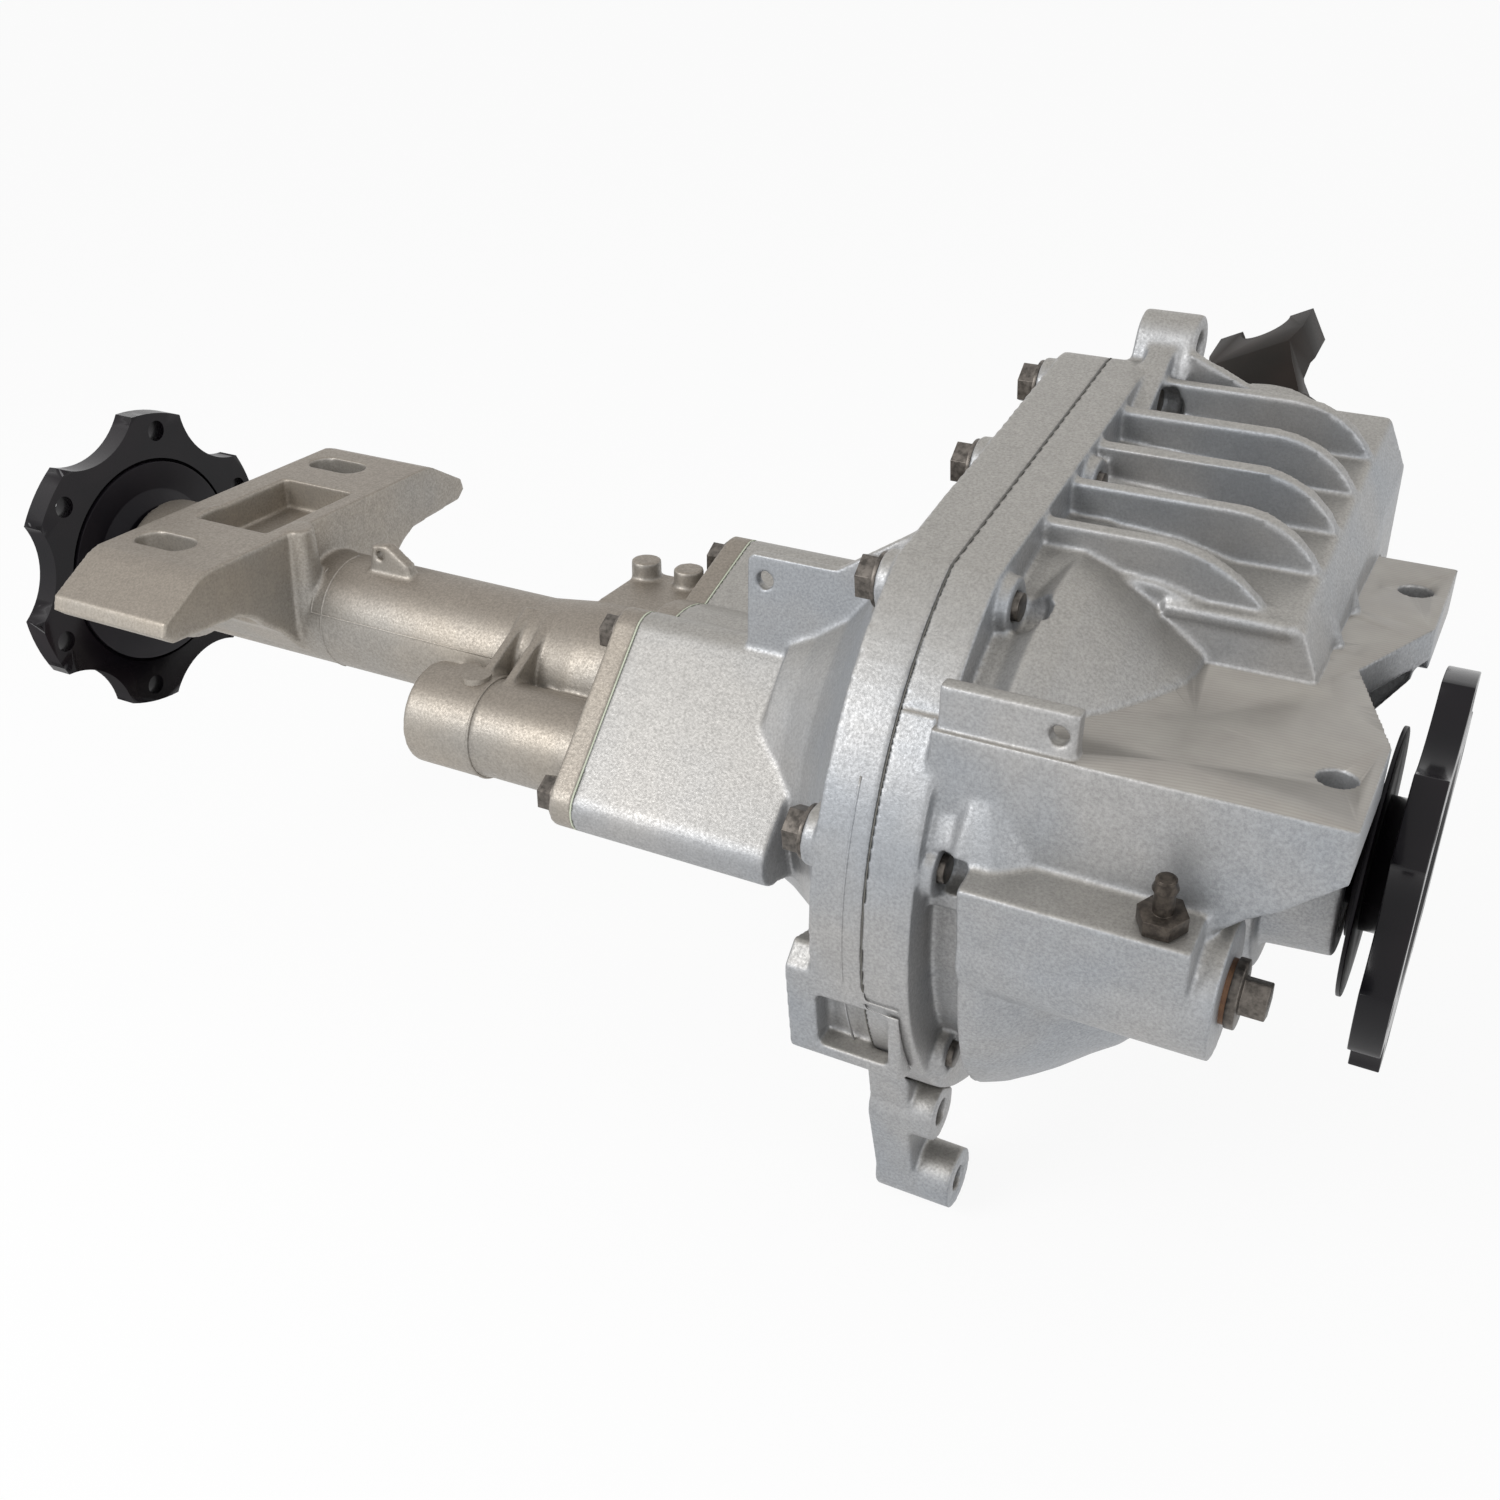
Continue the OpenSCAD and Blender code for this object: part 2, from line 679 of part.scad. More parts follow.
// Differential: cone distance and the backs of its gears
side_pr = side_teeth * diff_module / 2;
spider_pr = spider_teeth * diff_module / 2;
cone_len = sqrt(side_pr * side_pr + spider_pr * spider_pr);
face_w = 12;
diff_pitch = PI * diff_module;
washer_t = 1.5;
side_back = spider_pr + 8;
spider_back = side_pr + 8;

function ring_x(r) = ring_pitch_x - (r - mesh_r) * ring_slope;

// One tooth of the ring at angle a; flip turns it over for the pinion
module crown_tooth(a, r_out, r_in, thick, flip) {
    rotate([a, 0, 0]) translate([ring_x(r_out), r_out, 0]) rotate([90, 90, ring_tilt])
        mirror([0, flip, 0]) tooth((r_out - r_in) / cos(ring_tilt),
            tooth_pitch * r_out / mesh_r * thick, r_in / r_out, tooth_add, tooth_ded + 0.5);
}

module ring_gear() {
    color(steel) intersection() {
        union() {
            spun([
                [ring_back, ring_bore], [ring_back, ring_r],
                [ring_x(ring_r) - tooth_ded, ring_r], [ring_x(ring_bore) - tooth_ded, ring_bore]
            ]);
            tilted() for (i = [0 : ring_teeth - 1])
                crown_tooth(mesh_a + (i + 0.5) * 360 / ring_teeth, ring_r + 1, ring_bore - 1, 0.38, 0);
        }
        difference() {
            xring(ring_back - 1, ring_x(ring_bore) + 10, ring_r, ring_bore);
            for (i = [0 : ring_bolts_n - 1]) rotate([i * 360 / ring_bolts_n, 0, 0])
                translate([0, ring_bolt_r, 0]) xcyl(ring_back - 2, ring_back + 16, 5 + fit);
        }
    }
}

module ring_bolts() {
    color(dark_steel) for (i = [0 : ring_bolts_n - 1]) rotate([i * 360 / ring_bolts_n, 0, 0])
        translate([0, ring_bolt_r, 0]) hex_bolt(ring_back - diff_flange_t, diff_flange_t + 15, 13, 10, 6);
}

module pinion_gear() {
    r0 = pinion_pitch_r - tooth_ded;
    color(steel) {
        intersection() {
            union() {
                along_pinion_cone(head_y[0], head_y[1], r0 - cone_slope * (mesh_y - head_y[0]),
                                  r0 + cone_slope * (head_y[1] - mesh_y));
                tilted() for (i = [0 : pinion_teeth - 1])
                    translate([pinion_x, 0, pinion_rise]) rotate([0, i * 360 / pinion_teeth, 0])
                    translate([-pinion_x, 0, -pinion_rise])
                    crown_tooth(mesh_a, (head_y[1] + 4) / cos(mesh_a), (head_y[0] - 4) / cos(mesh_a),
                                0.31, 1);
            }
            along_pinion(head_y[0], head_y[1], 60);
        }
        along_pinion(head_y[1] - 1, pinion_in[0], 28);
        along_pinion(pinion_in[0] - 1, pinion_in[1], cone_in_bore);
        along_pinion(pinion_in[1] - 1, yoke_y[2], cone_out_bore);
        along_pinion(yoke_y[2] - 1, yoke_y[2] + 22, 13);
    }
}

module along_pinion_cone(y0, y1, r0, r1) {
    pinion_frame() translate([0, 0, y0]) cylinder(h = y1 - y0, r1 = r0, r2 = r1);
}

// Tapered roller bearings, lying on Z with the wide end up, centred on the origin
lean = 13;
roll_taper = 2;
bite = 0.4;

function race_in(rm, rr, z) = rm - rr * cos(lean) + (z - rr * sin(lean)) * tan(lean - roll_taper);
function race_out(rm, rr, z) = rm + rr * cos(lean) + (z + rr * sin(lean)) * tan(lean + roll_taper);

module bearing_cup(r_out, rm, rr, len) {
    h = len / 2;
    color(steel) rotate_extrude() polygon([
        [race_out(rm, rr, -h) + fit, -h], [r_out, -h], [r_out, h], [race_out(rm, rr, h) + fit, h]
    ]);
}

module bearing_cone(r_in, rm, rr, len) {
    h = len / 2;
    roll = len * 0.68;
    count = floor(PI * rm / rr / 1.16);
    color(steel) {
        rotate_extrude() polygon([
            [r_in, -h], [race_in(rm, rr, -h) + bite, -h], [race_in(rm, rr, h) + bite, h], [r_in, h]
        ]);
        for (i = [0 : count - 1]) rotate(i * 360 / count) translate([rm, 0, 0]) rotate([0, lean, 0])
            cylinder(h = roll, r1 = rr - roll / 2 * tan(roll_taper), r2 = rr + roll / 2 * tan(roll_taper),
                     center = true, $fn = 24);
    }
}

side_rm = 43.5;
side_rr = 5.5;
side_len = 22;
in_rm = 39;
in_rr = 6;
in_len = pinion_in[1] - pinion_in[0];
cone_in_bore = 26;
out_rm = 32;
out_rr = 4.8;
out_len = pinion_out[1] - pinion_out[0];
cone_out_bore = 22;

// Places the right (+1) or left (-1) side bearing with its wide end inwards
module at_side_bearing(side) {
    x = side > 0 ? right_cup_x[0] : left_cup_x[1];
    translate([x + side * side_len / 2, 0, 0]) rotate([0, side > 0 ? -90 : 90, 0]) children();
}

module right_bearing_cup() {
    at_side_bearing(1) bearing_cup(side_cup_r, side_rm, side_rr, side_len);
}

module right_bearing_cone() {
    at_side_bearing(1) bearing_cone(journal_r, side_rm, side_rr, side_len);
}

module left_bearing_cup() {
    at_side_bearing(-1) bearing_cup(side_cup_r, side_rm, side_rr, side_len);
}

module left_bearing_cone() {
    at_side_bearing(-1) bearing_cone(journal_r, side_rm, side_rr, side_len);
}

module pinion_inner_cup() {
    pinion_frame() translate([0, 0, (pinion_in[0] + pinion_in[1]) / 2]) mirror([0, 0, 1])
        bearing_cup(cup_in_r, in_rm, in_rr, in_len);
}

module pinion_inner_cone() {
    pinion_frame() translate([0, 0, (pinion_in[0] + pinion_in[1]) / 2]) mirror([0, 0, 1])
        bearing_cone(cone_in_bore, in_rm, in_rr, in_len);
}

module pinion_outer_cup() {
    pinion_frame() translate([0, 0, (pinion_out[0] + pinion_out[1]) / 2])
        bearing_cup(cup_out_r, out_rm, out_rr, out_len);
}

module pinion_outer_cone() {
    pinion_frame() translate([0, 0, (pinion_out[0] + pinion_out[1]) / 2])
        bearing_cone(cone_out_bore, out_rm, out_rr, out_len);
}

// Thin sleeve that sets the preload between the two cones
module crush_sleeve() {
    color(steel) {
        pinion_ring(pinion_in[1], pinion_out[0], cone_out_bore + 3, cone_out_bore);
        pinion_ring((pinion_in[1] + pinion_out[0]) / 2 - 7, (pinion_in[1] + pinion_out[0]) / 2 + 7,
                    cone_out_bore + 5, cone_out_bore + 2);
    }
}

seal_y = [nose_end - 15, nose_end];
hub_seal_r = 28;

module pinion_seal() {
    color(dark_steel) {
        pinion_ring(seal_y[0], seal_y[1], cup_out_r, cup_out_r - 3);
        pinion_ring(seal_y[1] - 3, seal_y[1], cup_out_r - 2, hub_seal_r + 1);
        pinion_ring(seal_y[1] - 8, seal_y[1], hub_seal_r + 3, hub_seal_r + fit);
        pinion_ring(seal_y[1], seal_y[1] + 1.5, cup_out_r + 4, cup_out_r - 3);
    }
}

// End yoke: hub start, hub end and seat for the nut, along the pinion
yoke_y = [pinion_out[1], 274, 288];
joint_y = 345;
yoke_turn = 63;
yoke_half = 28;
yoke_cup_r = 14.5;

module yoke() {
    color([0.2, 0.16, 0.14]) pinion_frame() difference() {
        union() {
            translate([0, 0, yoke_y[0]]) cylinder(h = 30, r = hub_seal_r);
            translate([0, 0, yoke_y[1] - 6]) cylinder(h = yoke_y[2] - yoke_y[1] + 6, r = 37);
            rotate(yoke_turn) intersection() {
                yoke_fork();
                // Seen from the side each ear widens from the hub to its two horns
                rotate([90, 0, 90]) linear_extrude(height = 140, center = true) polygon([
                    [-30, yoke_y[1] - 2], [30, yoke_y[1] - 2], [24, 305], [yoke_half, 322],
                    [yoke_half, joint_y + 3], [-yoke_half, joint_y + 3], [-yoke_half, 322], [-24, 305]
                ]);
            }
        }
        translate([0, 0, yoke_y[0] - 1]) cylinder(h = 100, r = cone_out_bore);
        translate([0, 0, yoke_y[2]]) cylinder(h = 60, r = 25);
        // Bearing cradles and strap bolt holes
        rotate(yoke_turn) {
            translate([0, 0, joint_y]) rotate([0, 90, 0])
                cylinder(h = 140, r = yoke_cup_r, center = true);
            for (x = [-41, 41], y = [-21, 21]) translate([x, y, joint_y - 28])
                cylinder(h = 40, r = 4);
        }
    }
}

module yoke_fork() {
    rotate([90, 0, 0]) linear_extrude(height = 80, center = true) polygon([
        [-30, yoke_y[1]], [30, yoke_y[1]], [44, 290], [51, 306], [51, joint_y + 3],
        [31, joint_y + 3], [31, 316], [26, 302], [-26, 302], [-31, 316], [-31, joint_y + 3],
        [-51, joint_y + 3], [-51, 306], [-44, 290]
    ]);
}

module yoke_deflector() {
    color(dark_steel) pinion_ring(nose_end + 2.5, nose_end + 5, 46, hub_seal_r);
}

module pinion_washer() {
    color(steel) pinion_ring(yoke_y[2], yoke_y[2] + 3, 23, 13);
}

module pinion_nut() {
    color(dark_steel) pinion_frame() translate([0, 0, yoke_y[2] + 3]) difference() {
        hexagon(36, 14);
        translate([0, 0, -1]) cylinder(h = 20, r = 13);
    }
}

// Differential case with its ring gear flange, journals, gear chamber and windows
case_x = [right_cup_x[0], ring_back - diff_flange_t, left_cup_x[1]];

module diff_case() {
    color([0.4, 0.4, 0.4]) difference() {
        union() {
            xcyl(ring_back, case_x[0], diff_r);
            xcyl(case_x[1], ring_back, 104);
            xcyl(ring_back - 1, ring_back + 12, ring_bore - fit);
            xcone(ring_back + 12, ring_back + 24, ring_bore - 3, diff_r);
            xcyl(case_x[2], case_x[1] + 1, 40);
            xcyl(case_x[0] - 1, right_cup_x[1] - 1, journal_r);
            xcyl(left_cup_x[0] + 1, case_x[2] + 1, journal_r);
        }
        translate([pinion_x, 0, 0]) {
            xcyl(-side_back - washer_t - fit, side_back + washer_t + fit, 37);
            cylinder(h = 2 * (spider_back + washer_t + fit), r = 25, center = true);
            cylinder(h = 200, r = cross_d / 2 + fit, center = true);
            rotate([90, 0, 0]) cylinder(h = 200, r = 27, center = true);
        }
        xcyl(-300, -50, shaft_in_r + 2.5);
        for (i = [0 : ring_bolts_n - 1]) rotate([i * 360 / ring_bolts_n, 0, 0])
            translate([0, ring_bolt_r, 0]) xcyl(case_x[1] - 2, ring_back + 2, 5 + fit);
        lock_pin_shape(fit);
    }
}

module lock_pin_shape(grow) {
    translate([0, 0, 51]) xcyl(pinion_x - 30 - grow, pinion_x + 34 + grow, 2.5 + grow);
}

module cross_shaft() {
    color(steel) difference() {
        translate([pinion_x, 0, 0]) cylinder(h = 2 * diff_r - 3, r = cross_d / 2, center = true);
        lock_pin_shape(fit);
    }
}

module lock_pin() {
    color(dark_steel) lock_pin_shape(0);
}

// A differential gear on Z with its apex at the origin
module bevel(teeth, pr, axial, back, bore, phase) {
    a = atan2(pr, axial);
    k = (cone_len - face_w) / cone_len;
    ded = 3.2;
    root = [pr - ded * cos(a), axial + ded * sin(a)];
    color(steel) difference() {
        union() {
            rotate_extrude() polygon([
                [0, root[1] * k], root * k, root, [root[0], back], [0, back]
            ]);
            for (i = [0 : teeth - 1]) rotate(phase + i * 360 / teeth)
                translate([pr, 0, axial]) rotate([0, a, 0]) rotate([180, 0, 90])
                tooth(face_w, diff_pitch * 0.41, k, 2.4, ded + 0.5);
        }
        translate([0, 0, -1]) cylinder(h = back + 2, r = bore);
    }
}

module spider_gear_a() {
    translate([pinion_x, 0, 0])
        bevel(spider_teeth, spider_pr, side_pr, spider_back, cross_d / 2 + fit, 0);
}

module spider_gear_b() {
    translate([pinion_x, 0, 0]) rotate([180, 0, 0])
        bevel(spider_teeth, spider_pr, side_pr, spider_back, cross_d / 2 + fit, 0);
}

module side_gear_right() {
    translate([pinion_x, 0, 0]) rotate([0, 90, 0])
        bevel(side_teeth, side_pr, spider_pr, side_back, shaft_in_r, 180 / side_teeth);
}

module side_gear_left() {
    translate([pinion_x, 0, 0]) rotate([0, -90, 0])
        bevel(side_teeth, side_pr, spider_pr, side_back, shaft_in_r, 180 / side_teeth);
}

module spider_washer(s) {
    color([0.6, 0.5, 0.35]) translate([pinion_x, 0, s > 0 ? spider_back : -spider_back - washer_t])
        difference() {
            cylinder(h = washer_t, r = 20);
            translate([0, 0, -1]) cylinder(h = 4, r = cross_d / 2 + gap);
        }
}

module spider_washer_a() {
    spider_washer(1);
}

module spider_washer_b() {
    spider_washer(-1);
}

module side_washers() {
    color([0.6, 0.5, 0.35]) {
        xring(pinion_x + side_back, pinion_x + side_back + washer_t, 30, shaft_in_r + 3);
        xring(pinion_x - side_back - washer_t, pinion_x - side_back, 30, shaft_in_r + 3);
    }
}

// Threaded rings that set the side bearings
module adjuster(x) {
    color(dark_steel) difference() {
        xring(x[0], x[1], side_cup_r, shaft_r + 12);
        for (i = [0 : 11]) rotate([i * 30, 0, 0]) translate([x[0] - 1, shaft_r + 15, -2.5])
            cube([x[1] - x[0] + 2, 8, 5]);
    }
}

module right_adjuster() {
    adjuster(right_adjuster_x);
}

module left_adjuster() {
    adjuster(left_adjuster_x);
}

// Output shafts
flange_turn = 77.4;
module flange_outline(first) {
    valley = 116;
    difference() {
        circle(r = flange_lobe_r);
        for (i = [0 : 5]) rotate(first + 30 + i * 60) translate([valley, 0]) circle(r = valley - 74);
        for (i = [0 : 5]) rotate(first + i * 60) translate([flange_pcd / 2, 0])
            circle(r = flange_hole_d / 2);
    }
}

module short_output_shaft() {
    color(black) {
        difference() {
            union() {
                yz_plate(-flange_t, 0) flange_outline(flange_turn);
                xcyl(slinger_x[0] - 3, -flange_t + 1, 30);
            }
            xcone(-5, 1, 48, 56);
            xcyl(-flange_t - 1, 1, 5);
        }
        xcyl(-flange_t - 2, -4, 26);
    }
    color(steel) {
        xcyl(short_turn, slinger_x[0] - 3, shaft_r);
        xcyl(pinion_x + 14.5, short_turn + 1, shaft_in_r - fit);
    }
}
shaft_in_r = 16;
journal_r = 32;
short_turn = -76;
slinger_x = [-24, -22];
short_seal_x = [-40, -30];
needle_x = [-66, -44];

module short_slinger() {
    color(dark_steel) {
        xring(slinger_x[0], slinger_x[1], 60, 30);
        xring(slinger_x[0] - 3, slinger_x[0] + 1, 34, 30);
    }
}

module shaft_seal(x0, x1, r_out, r_in) {
    color(dark_steel) {
        xring(x0, x1, r_out, r_out - 2.5);
        xring(x1 - 2.5, x1, r_out - 1, r_in + 1);
        xring(x0 + 2, x1, r_in + 2.5, r_in);
    }
}

module short_seal() {
    shaft_seal(short_seal_x[0], short_seal_x[1], shaft_r + 14, shaft_r + fit);
}

// Needle bearing about X: outer shell with rollers on its inside
module needle_bearing(x0, x1, r_out, r_in) {
    mid = (r_out + r_in) / 2;
    roll = (r_out - r_in) / 2 - 1;
    n = floor(PI * (r_in + roll) / roll / 1.12);
    color(steel) {
        xring(x0, x1, r_out, r_out - 2.1);
        for (i = [0 : n - 1]) rotate([i * 360 / n, 0, 0]) translate([0, r_in + roll, 0])
            xcyl(x0 + 1.5, x1 - 1.5, roll);
        xring(x0, x0 + 1.6, r_out - 1, r_in + roll * 0.6);
        xring(x1 - 1.6, x1, r_out - 1, r_in + roll * 0.6);
    }
}

module short_shaft_bearing() {
    needle_bearing(needle_x[0], needle_x[1], shaft_r + 8, shaft_r + fit);
}

collar_x = [-344, -320];
inner_gear_x = [-348, -316];
long_gear_x = [-386, -350];
inner_bearing_x = [-292, -272];

// External clutch teeth on a shaft
module clutch_gear(x) {
    xcyl(x[0], x[1], clutch_r - 2);
    for (i = [0 : clutch_teeth - 1]) rotate([i * 360 / clutch_teeth, 0, 0])
        translate([x[0], clutch_r - 3, -1.3]) cube([x[1] - x[0], 3, 2.6]);
}

module inner_shaft() {
    color(steel) {
        xcyl(inner_gear_x[0], pinion_x - 14.5, shaft_in_r - fit);
        clutch_gear(inner_gear_x);
        xcyl(-366, inner_gear_x[0] + 1, 9);
    }
}

module inner_shaft_bearing() {
    needle_bearing(inner_bearing_x[0], inner_bearing_x[1], shaft_in_r + 8, shaft_in_r);
}

module pilot_bearing() {
    color([0.7, 0.55, 0.3]) xring(-366, long_gear_x[1] - 0.5, 11, 9 + fit);
}

module shift_collar() {
    groove = [-335.5, -328.5];
    color(steel) difference() {
        xring(collar_x[0], collar_x[1], 34, clutch_r - 2 + 0.08);
        xring(groove[0], groove[1], 36, 29);
        for (i = [0 : clutch_teeth - 1]) rotate([i * 360 / clutch_teeth, 0, 0])
            translate([collar_x[0] - 1, 10, -1.38]) cube([collar_x[1] - collar_x[0] + 2, clutch_r - 9.92, 2.76]);
    }
}

fork_x = [-335, -329];
rod_r = 7;

// Fork: two arms round the collar's groove and a hub on the rod
module shift_fork() {
    away = atan2(actuator[1], actuator[0]);
    reach = norm(actuator);
    color([0.45, 0.45, 0.42]) difference() {
        union() {
            yz_plate(fork_x[0], fork_x[1]) rotate(away) difference() {
                union() {
                    difference() {
                        circle(r = 37.5);
                        translate([-83, -50]) square([80, 100]);
                    }
                    translate([33, -10]) square([reach - 33, 20]);
                    translate([reach, 0]) circle(r = 11.5);
                }
                circle(r = 29.4);
            }
            translate([0, actuator[0], actuator[1]]) xcyl(fork_x[0] - 9, fork_x[1] + 5, 13);
        }
        translate([0, actuator[0], actuator[1]]) xcyl(-400, -300, rod_r);
    }
}

rod_x = [-451, -302];
clip_x = [fork_x[0] - 31, fork_x[0] - 29];

module fork_rod() {
    color(steel) translate([0, actuator[0], actuator[1]]) {
        xcyl(rod_x[0], rod_x[1], rod_r);
        xring(clip_x[0], clip_x[1], 9.5, rod_r - 1);
    }
}

// Spring on the rod between the fork and a clip
module return_spring() {
    color(steel) translate([0, actuator[0], actuator[1]]) for (i = [0 : 4])
        translate([fork_x[0] - 27.5 + i * 4.1, 0, 0]) rotate([0, 90, 0])
            rotate_extrude() translate([rod_r + 1.6, 0]) circle(r = 1.5, $fn = 16);
}

long_bearing_x = [-708, -697];
hub_bearing_x = [-404, -388];
long_seal_x = [tube_end, -709];

module long_output_shaft() {
    color(black) difference() {
        union() {
            yz_plate(long_face, long_in) flange_outline(flange_turn);
            xcyl(long_in - 1, -720, 30);
        }
        xcone(long_face - 1, long_face + 5, 56, 48);
        difference() {
            xcyl(long_in - 3, long_in + 1, 62);
            xcyl(long_in - 4, long_in + 2, 30);
        }
    }
    color(steel) difference() {
        union() {
            xcyl(-724, -692, shaft_r);
            xcyl(-693, hub_bearing_x[0] + 1, 15);
            xcyl(hub_bearing_x[0] - 2, long_gear_x[0] + 1, shaft_r);
            clutch_gear(long_gear_x);
        }
        xcyl(-368, long_gear_x[1] + 1, 11);
    }
}

module long_slinger() {
    color([0.35, 0.25, 0.2]) {
        xring(long_in - 2, long_in + 1, 60, 30);
        difference() {
            xcone(long_in + 1, long_in + 8, 44, 36);
            xcyl(long_in, long_in + 12, 30);
        }
    }
}

module long_seal() {
    shaft_seal(long_seal_x[0], long_seal_x[1], 33, shaft_r + fit);
}

// Deep groove ball bearing about X
module ball_bearing(x, r_out, r_in) {
    mid = (r_out + r_in) / 2;
    ball = (r_out - r_in) * 0.29;
    n = floor(PI * mid / ball / 1.2);
    color(steel) {
        difference() {
            union() {
                xring(x[0], x[1], r_out, mid + ball * 0.55);
                xring(x[0], x[1], mid - ball * 0.55, r_in);
            }
            translate([(x[0] + x[1]) / 2, 0, 0]) rotate([0, 90, 0])
                rotate_extrude() translate([mid, 0]) circle(r = ball - 0.05);
        }
        for (i = [0 : n - 1]) rotate([i * 360 / n, 0, 0])
            translate([(x[0] + x[1]) / 2, mid, 0]) sphere(r = ball);
        xring(x[0] + 1, x[0] + 2, mid + ball * 0.6, mid - ball * 0.6);
    }
}

module long_bearing() {
    ball_bearing(long_bearing_x, 33, shaft_r + fit);
}

module hub_bearing() {
    ball_bearing(hub_bearing_x, 30, shaft_r + fit);
}

// Axle tube with its plate, actuator boss, mounting bracket and end collar
bracket_ends = [bracket_x - bracket_len / 2, bracket_x + bracket_len / 2];
slot_x = bracket_x - 11;
boss_x = -482;
actuator_floor = -452;

// Side view of the bracket: flat top, sloping ends, and a throat down to the tube
module bracket_profile() {
    difference() {
        polygon([
            [-bracket_y, 30], [-bracket_y + 6, 25], [-74, 22], [-44, 0], [-30, -16], [30, -16],
            [44, 0], [74, 22], [bracket_y - 6, 25], [bracket_y, 30], [bracket_y - 2, 37],
            [98, bracket_z - 2], [92, bracket_z], [-92, bracket_z], [-98, bracket_z - 2],
            [-bracket_y + 2, 37]
        ]);
        for (s = [-1, 1]) translate([s * 82, -10]) circle(r = 32);
    }
}

module bracket() {
    yz_plate(bracket_ends[0], bracket_ends[1]) bracket_profile();
}

module axle_tube() {
    r = tube_d / 2;
    color(cast) difference() {
        union() {
            xcyl(tube_end, plate_x + 1, r);
            xcyl(tube_end, -694, tube_collar_r);
            xcone(-695, -686, tube_collar_r, r);
            xcone(-450, -412, r, 37);
            xcyl(-412.5, plate_x + 1, 37);
            yz_plate(plate_x, tube_joint_x) tube_joint_outline();
            // Actuator boss with its step ring, ribs and web
            translate([0, actuator[0], actuator[1]]) {
                xcyl(boss_x, plate_x + 1, actuator_r);
                xcyl(boss_x, -442, actuator_r + 1.5);
            }
            translate([-470, actuator[0], actuator[1] - 8]) cube([96, 50, 16]);
            for (x = [-453, -438]) yz_plate(x, x + 5) polygon([
                [actuator[0], actuator[1] + actuator_r], [-10, 33], [0, 20], [0, -20],
                [actuator[0], actuator[1]]
            ]);
            translate([-462, actuator[0] + 6, 0]) cylinder(h = 12, r = 7.5);
            // Far-side web with its two upright cylinders
            translate([-420, 10, 0]) cube([45, 46, 36]);
            for (x = [-414, -388]) translate([x, 48, -10]) cylinder(h = 56, r = 8);
            bracket();
            // Upright tab with a hole, and round pads left by the casting
            xz_plate(-8, -1) difference() {
                polygon([[-560, 20], [-555, 46], [-545, 48], [-531, 38], [-527, 20]]);
                disc([-550, 41], 2.6);
            }
            translate([bracket_ends[1], -22, 0]) cylinder(h = bracket_z + 1, r1 = 11, r2 = 8);
            translate([bracket_ends[0] + 20, -24, 30]) cylinder(h = bracket_z - 29, r = 8);
        }
        // Shaft bore, bearing and seal seats, actuator and rod bores
        xcyl(tube_end - 1, tube_joint_x + 1, 24);
        xcyl(tube_end - 1, long_bearing_x[1], 33 + fit);
        xcyl(hub_bearing_x[0], tube_joint_x + 1, 30 + fit);
        translate([0, actuator[0], actuator[1]]) {
            xcyl(boss_x - 1, actuator_floor, actuator_hole_d / 2);
            xcyl(actuator_floor - 1, tube_joint_x + 1, rod_r + fit);
            xcyl(clip_x[0] - shift_travel - 2, tube_joint_x + 1, 15);
        }
        for (p = tube_bolts_yz) translate([0, p[0], p[1]]) xcyl(plate_x - 20, tube_joint_x + 1, 6 + fit);
        // Bracket slots, and the pocket between them
        for (y = [-slot_y, slot_y]) translate([slot_x, y, 0]) {
            linear_extrude(height = 100) hull_slot();
        }
        translate([bracket_x - 22, -36, 36]) cube([50, 72, 30]);
        // Lightening pockets under the two arms
        for (s = [-1, 1]) translate([bracket_ends[0] + 6, s * 80 - 26, 0])
            cube([bracket_len - 12, 52, 34]);
    }
}

module hull_slot() {
    half = (slot_len - slot_w) / 2;
    for (s = [-1, 1]) translate([s * half, 0]) circle(r = slot_w / 2);
    translate([-half, -slot_w / 2]) square([2 * half, slot_w]);
}

case_right();
case_left();
axle_tube();
case_gasket();
tube_gasket();
case_bolts();
tube_bolts();
dowels();
vent_fitting();
fill_plug();
fill_washer();
pinion_gear();
pinion_inner_cup();
pinion_inner_cone();
pinion_outer_cup();
pinion_outer_cone();
crush_sleeve();
pinion_seal();
yoke();
yoke_deflector();
pinion_washer();
pinion_nut();
ring_gear();
ring_bolts();
diff_case();
cross_shaft();
lock_pin();
spider_gear_a();
spider_gear_b();
spider_washer_a();
spider_washer_b();
side_gear_right();
side_gear_left();
side_washers();
right_bearing_cup();
right_bearing_cone();
left_bearing_cup();
left_bearing_cone();
right_adjuster();
left_adjuster();
short_output_shaft();
short_slinger();
short_seal();
short_shaft_bearing();
inner_shaft();
inner_shaft_bearing();
pilot_bearing();
shift_collar();
shift_fork();
fork_rod();
return_spring();
long_output_shaft();
long_slinger();
long_seal();
long_bearing();
hub_bearing();
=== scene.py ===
# %% [markdown]
# # A front drive axle, dressed on its fixed frame
#
# The axle is a two-piece cast aluminium carrier with a hypoid gear set inside, a cast axle tube bolted
# to its left, and a black bolting flange at each end. The shapes that matter for size come from the
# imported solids, so this lesson adds what a casting has and a drawing leaves out: soft fillets, a blasted
# skin, mould lines and enamel.

import json
import math

import bmesh
import bpy
import numpy as np
from mathutils import Euler, Matrix, Vector

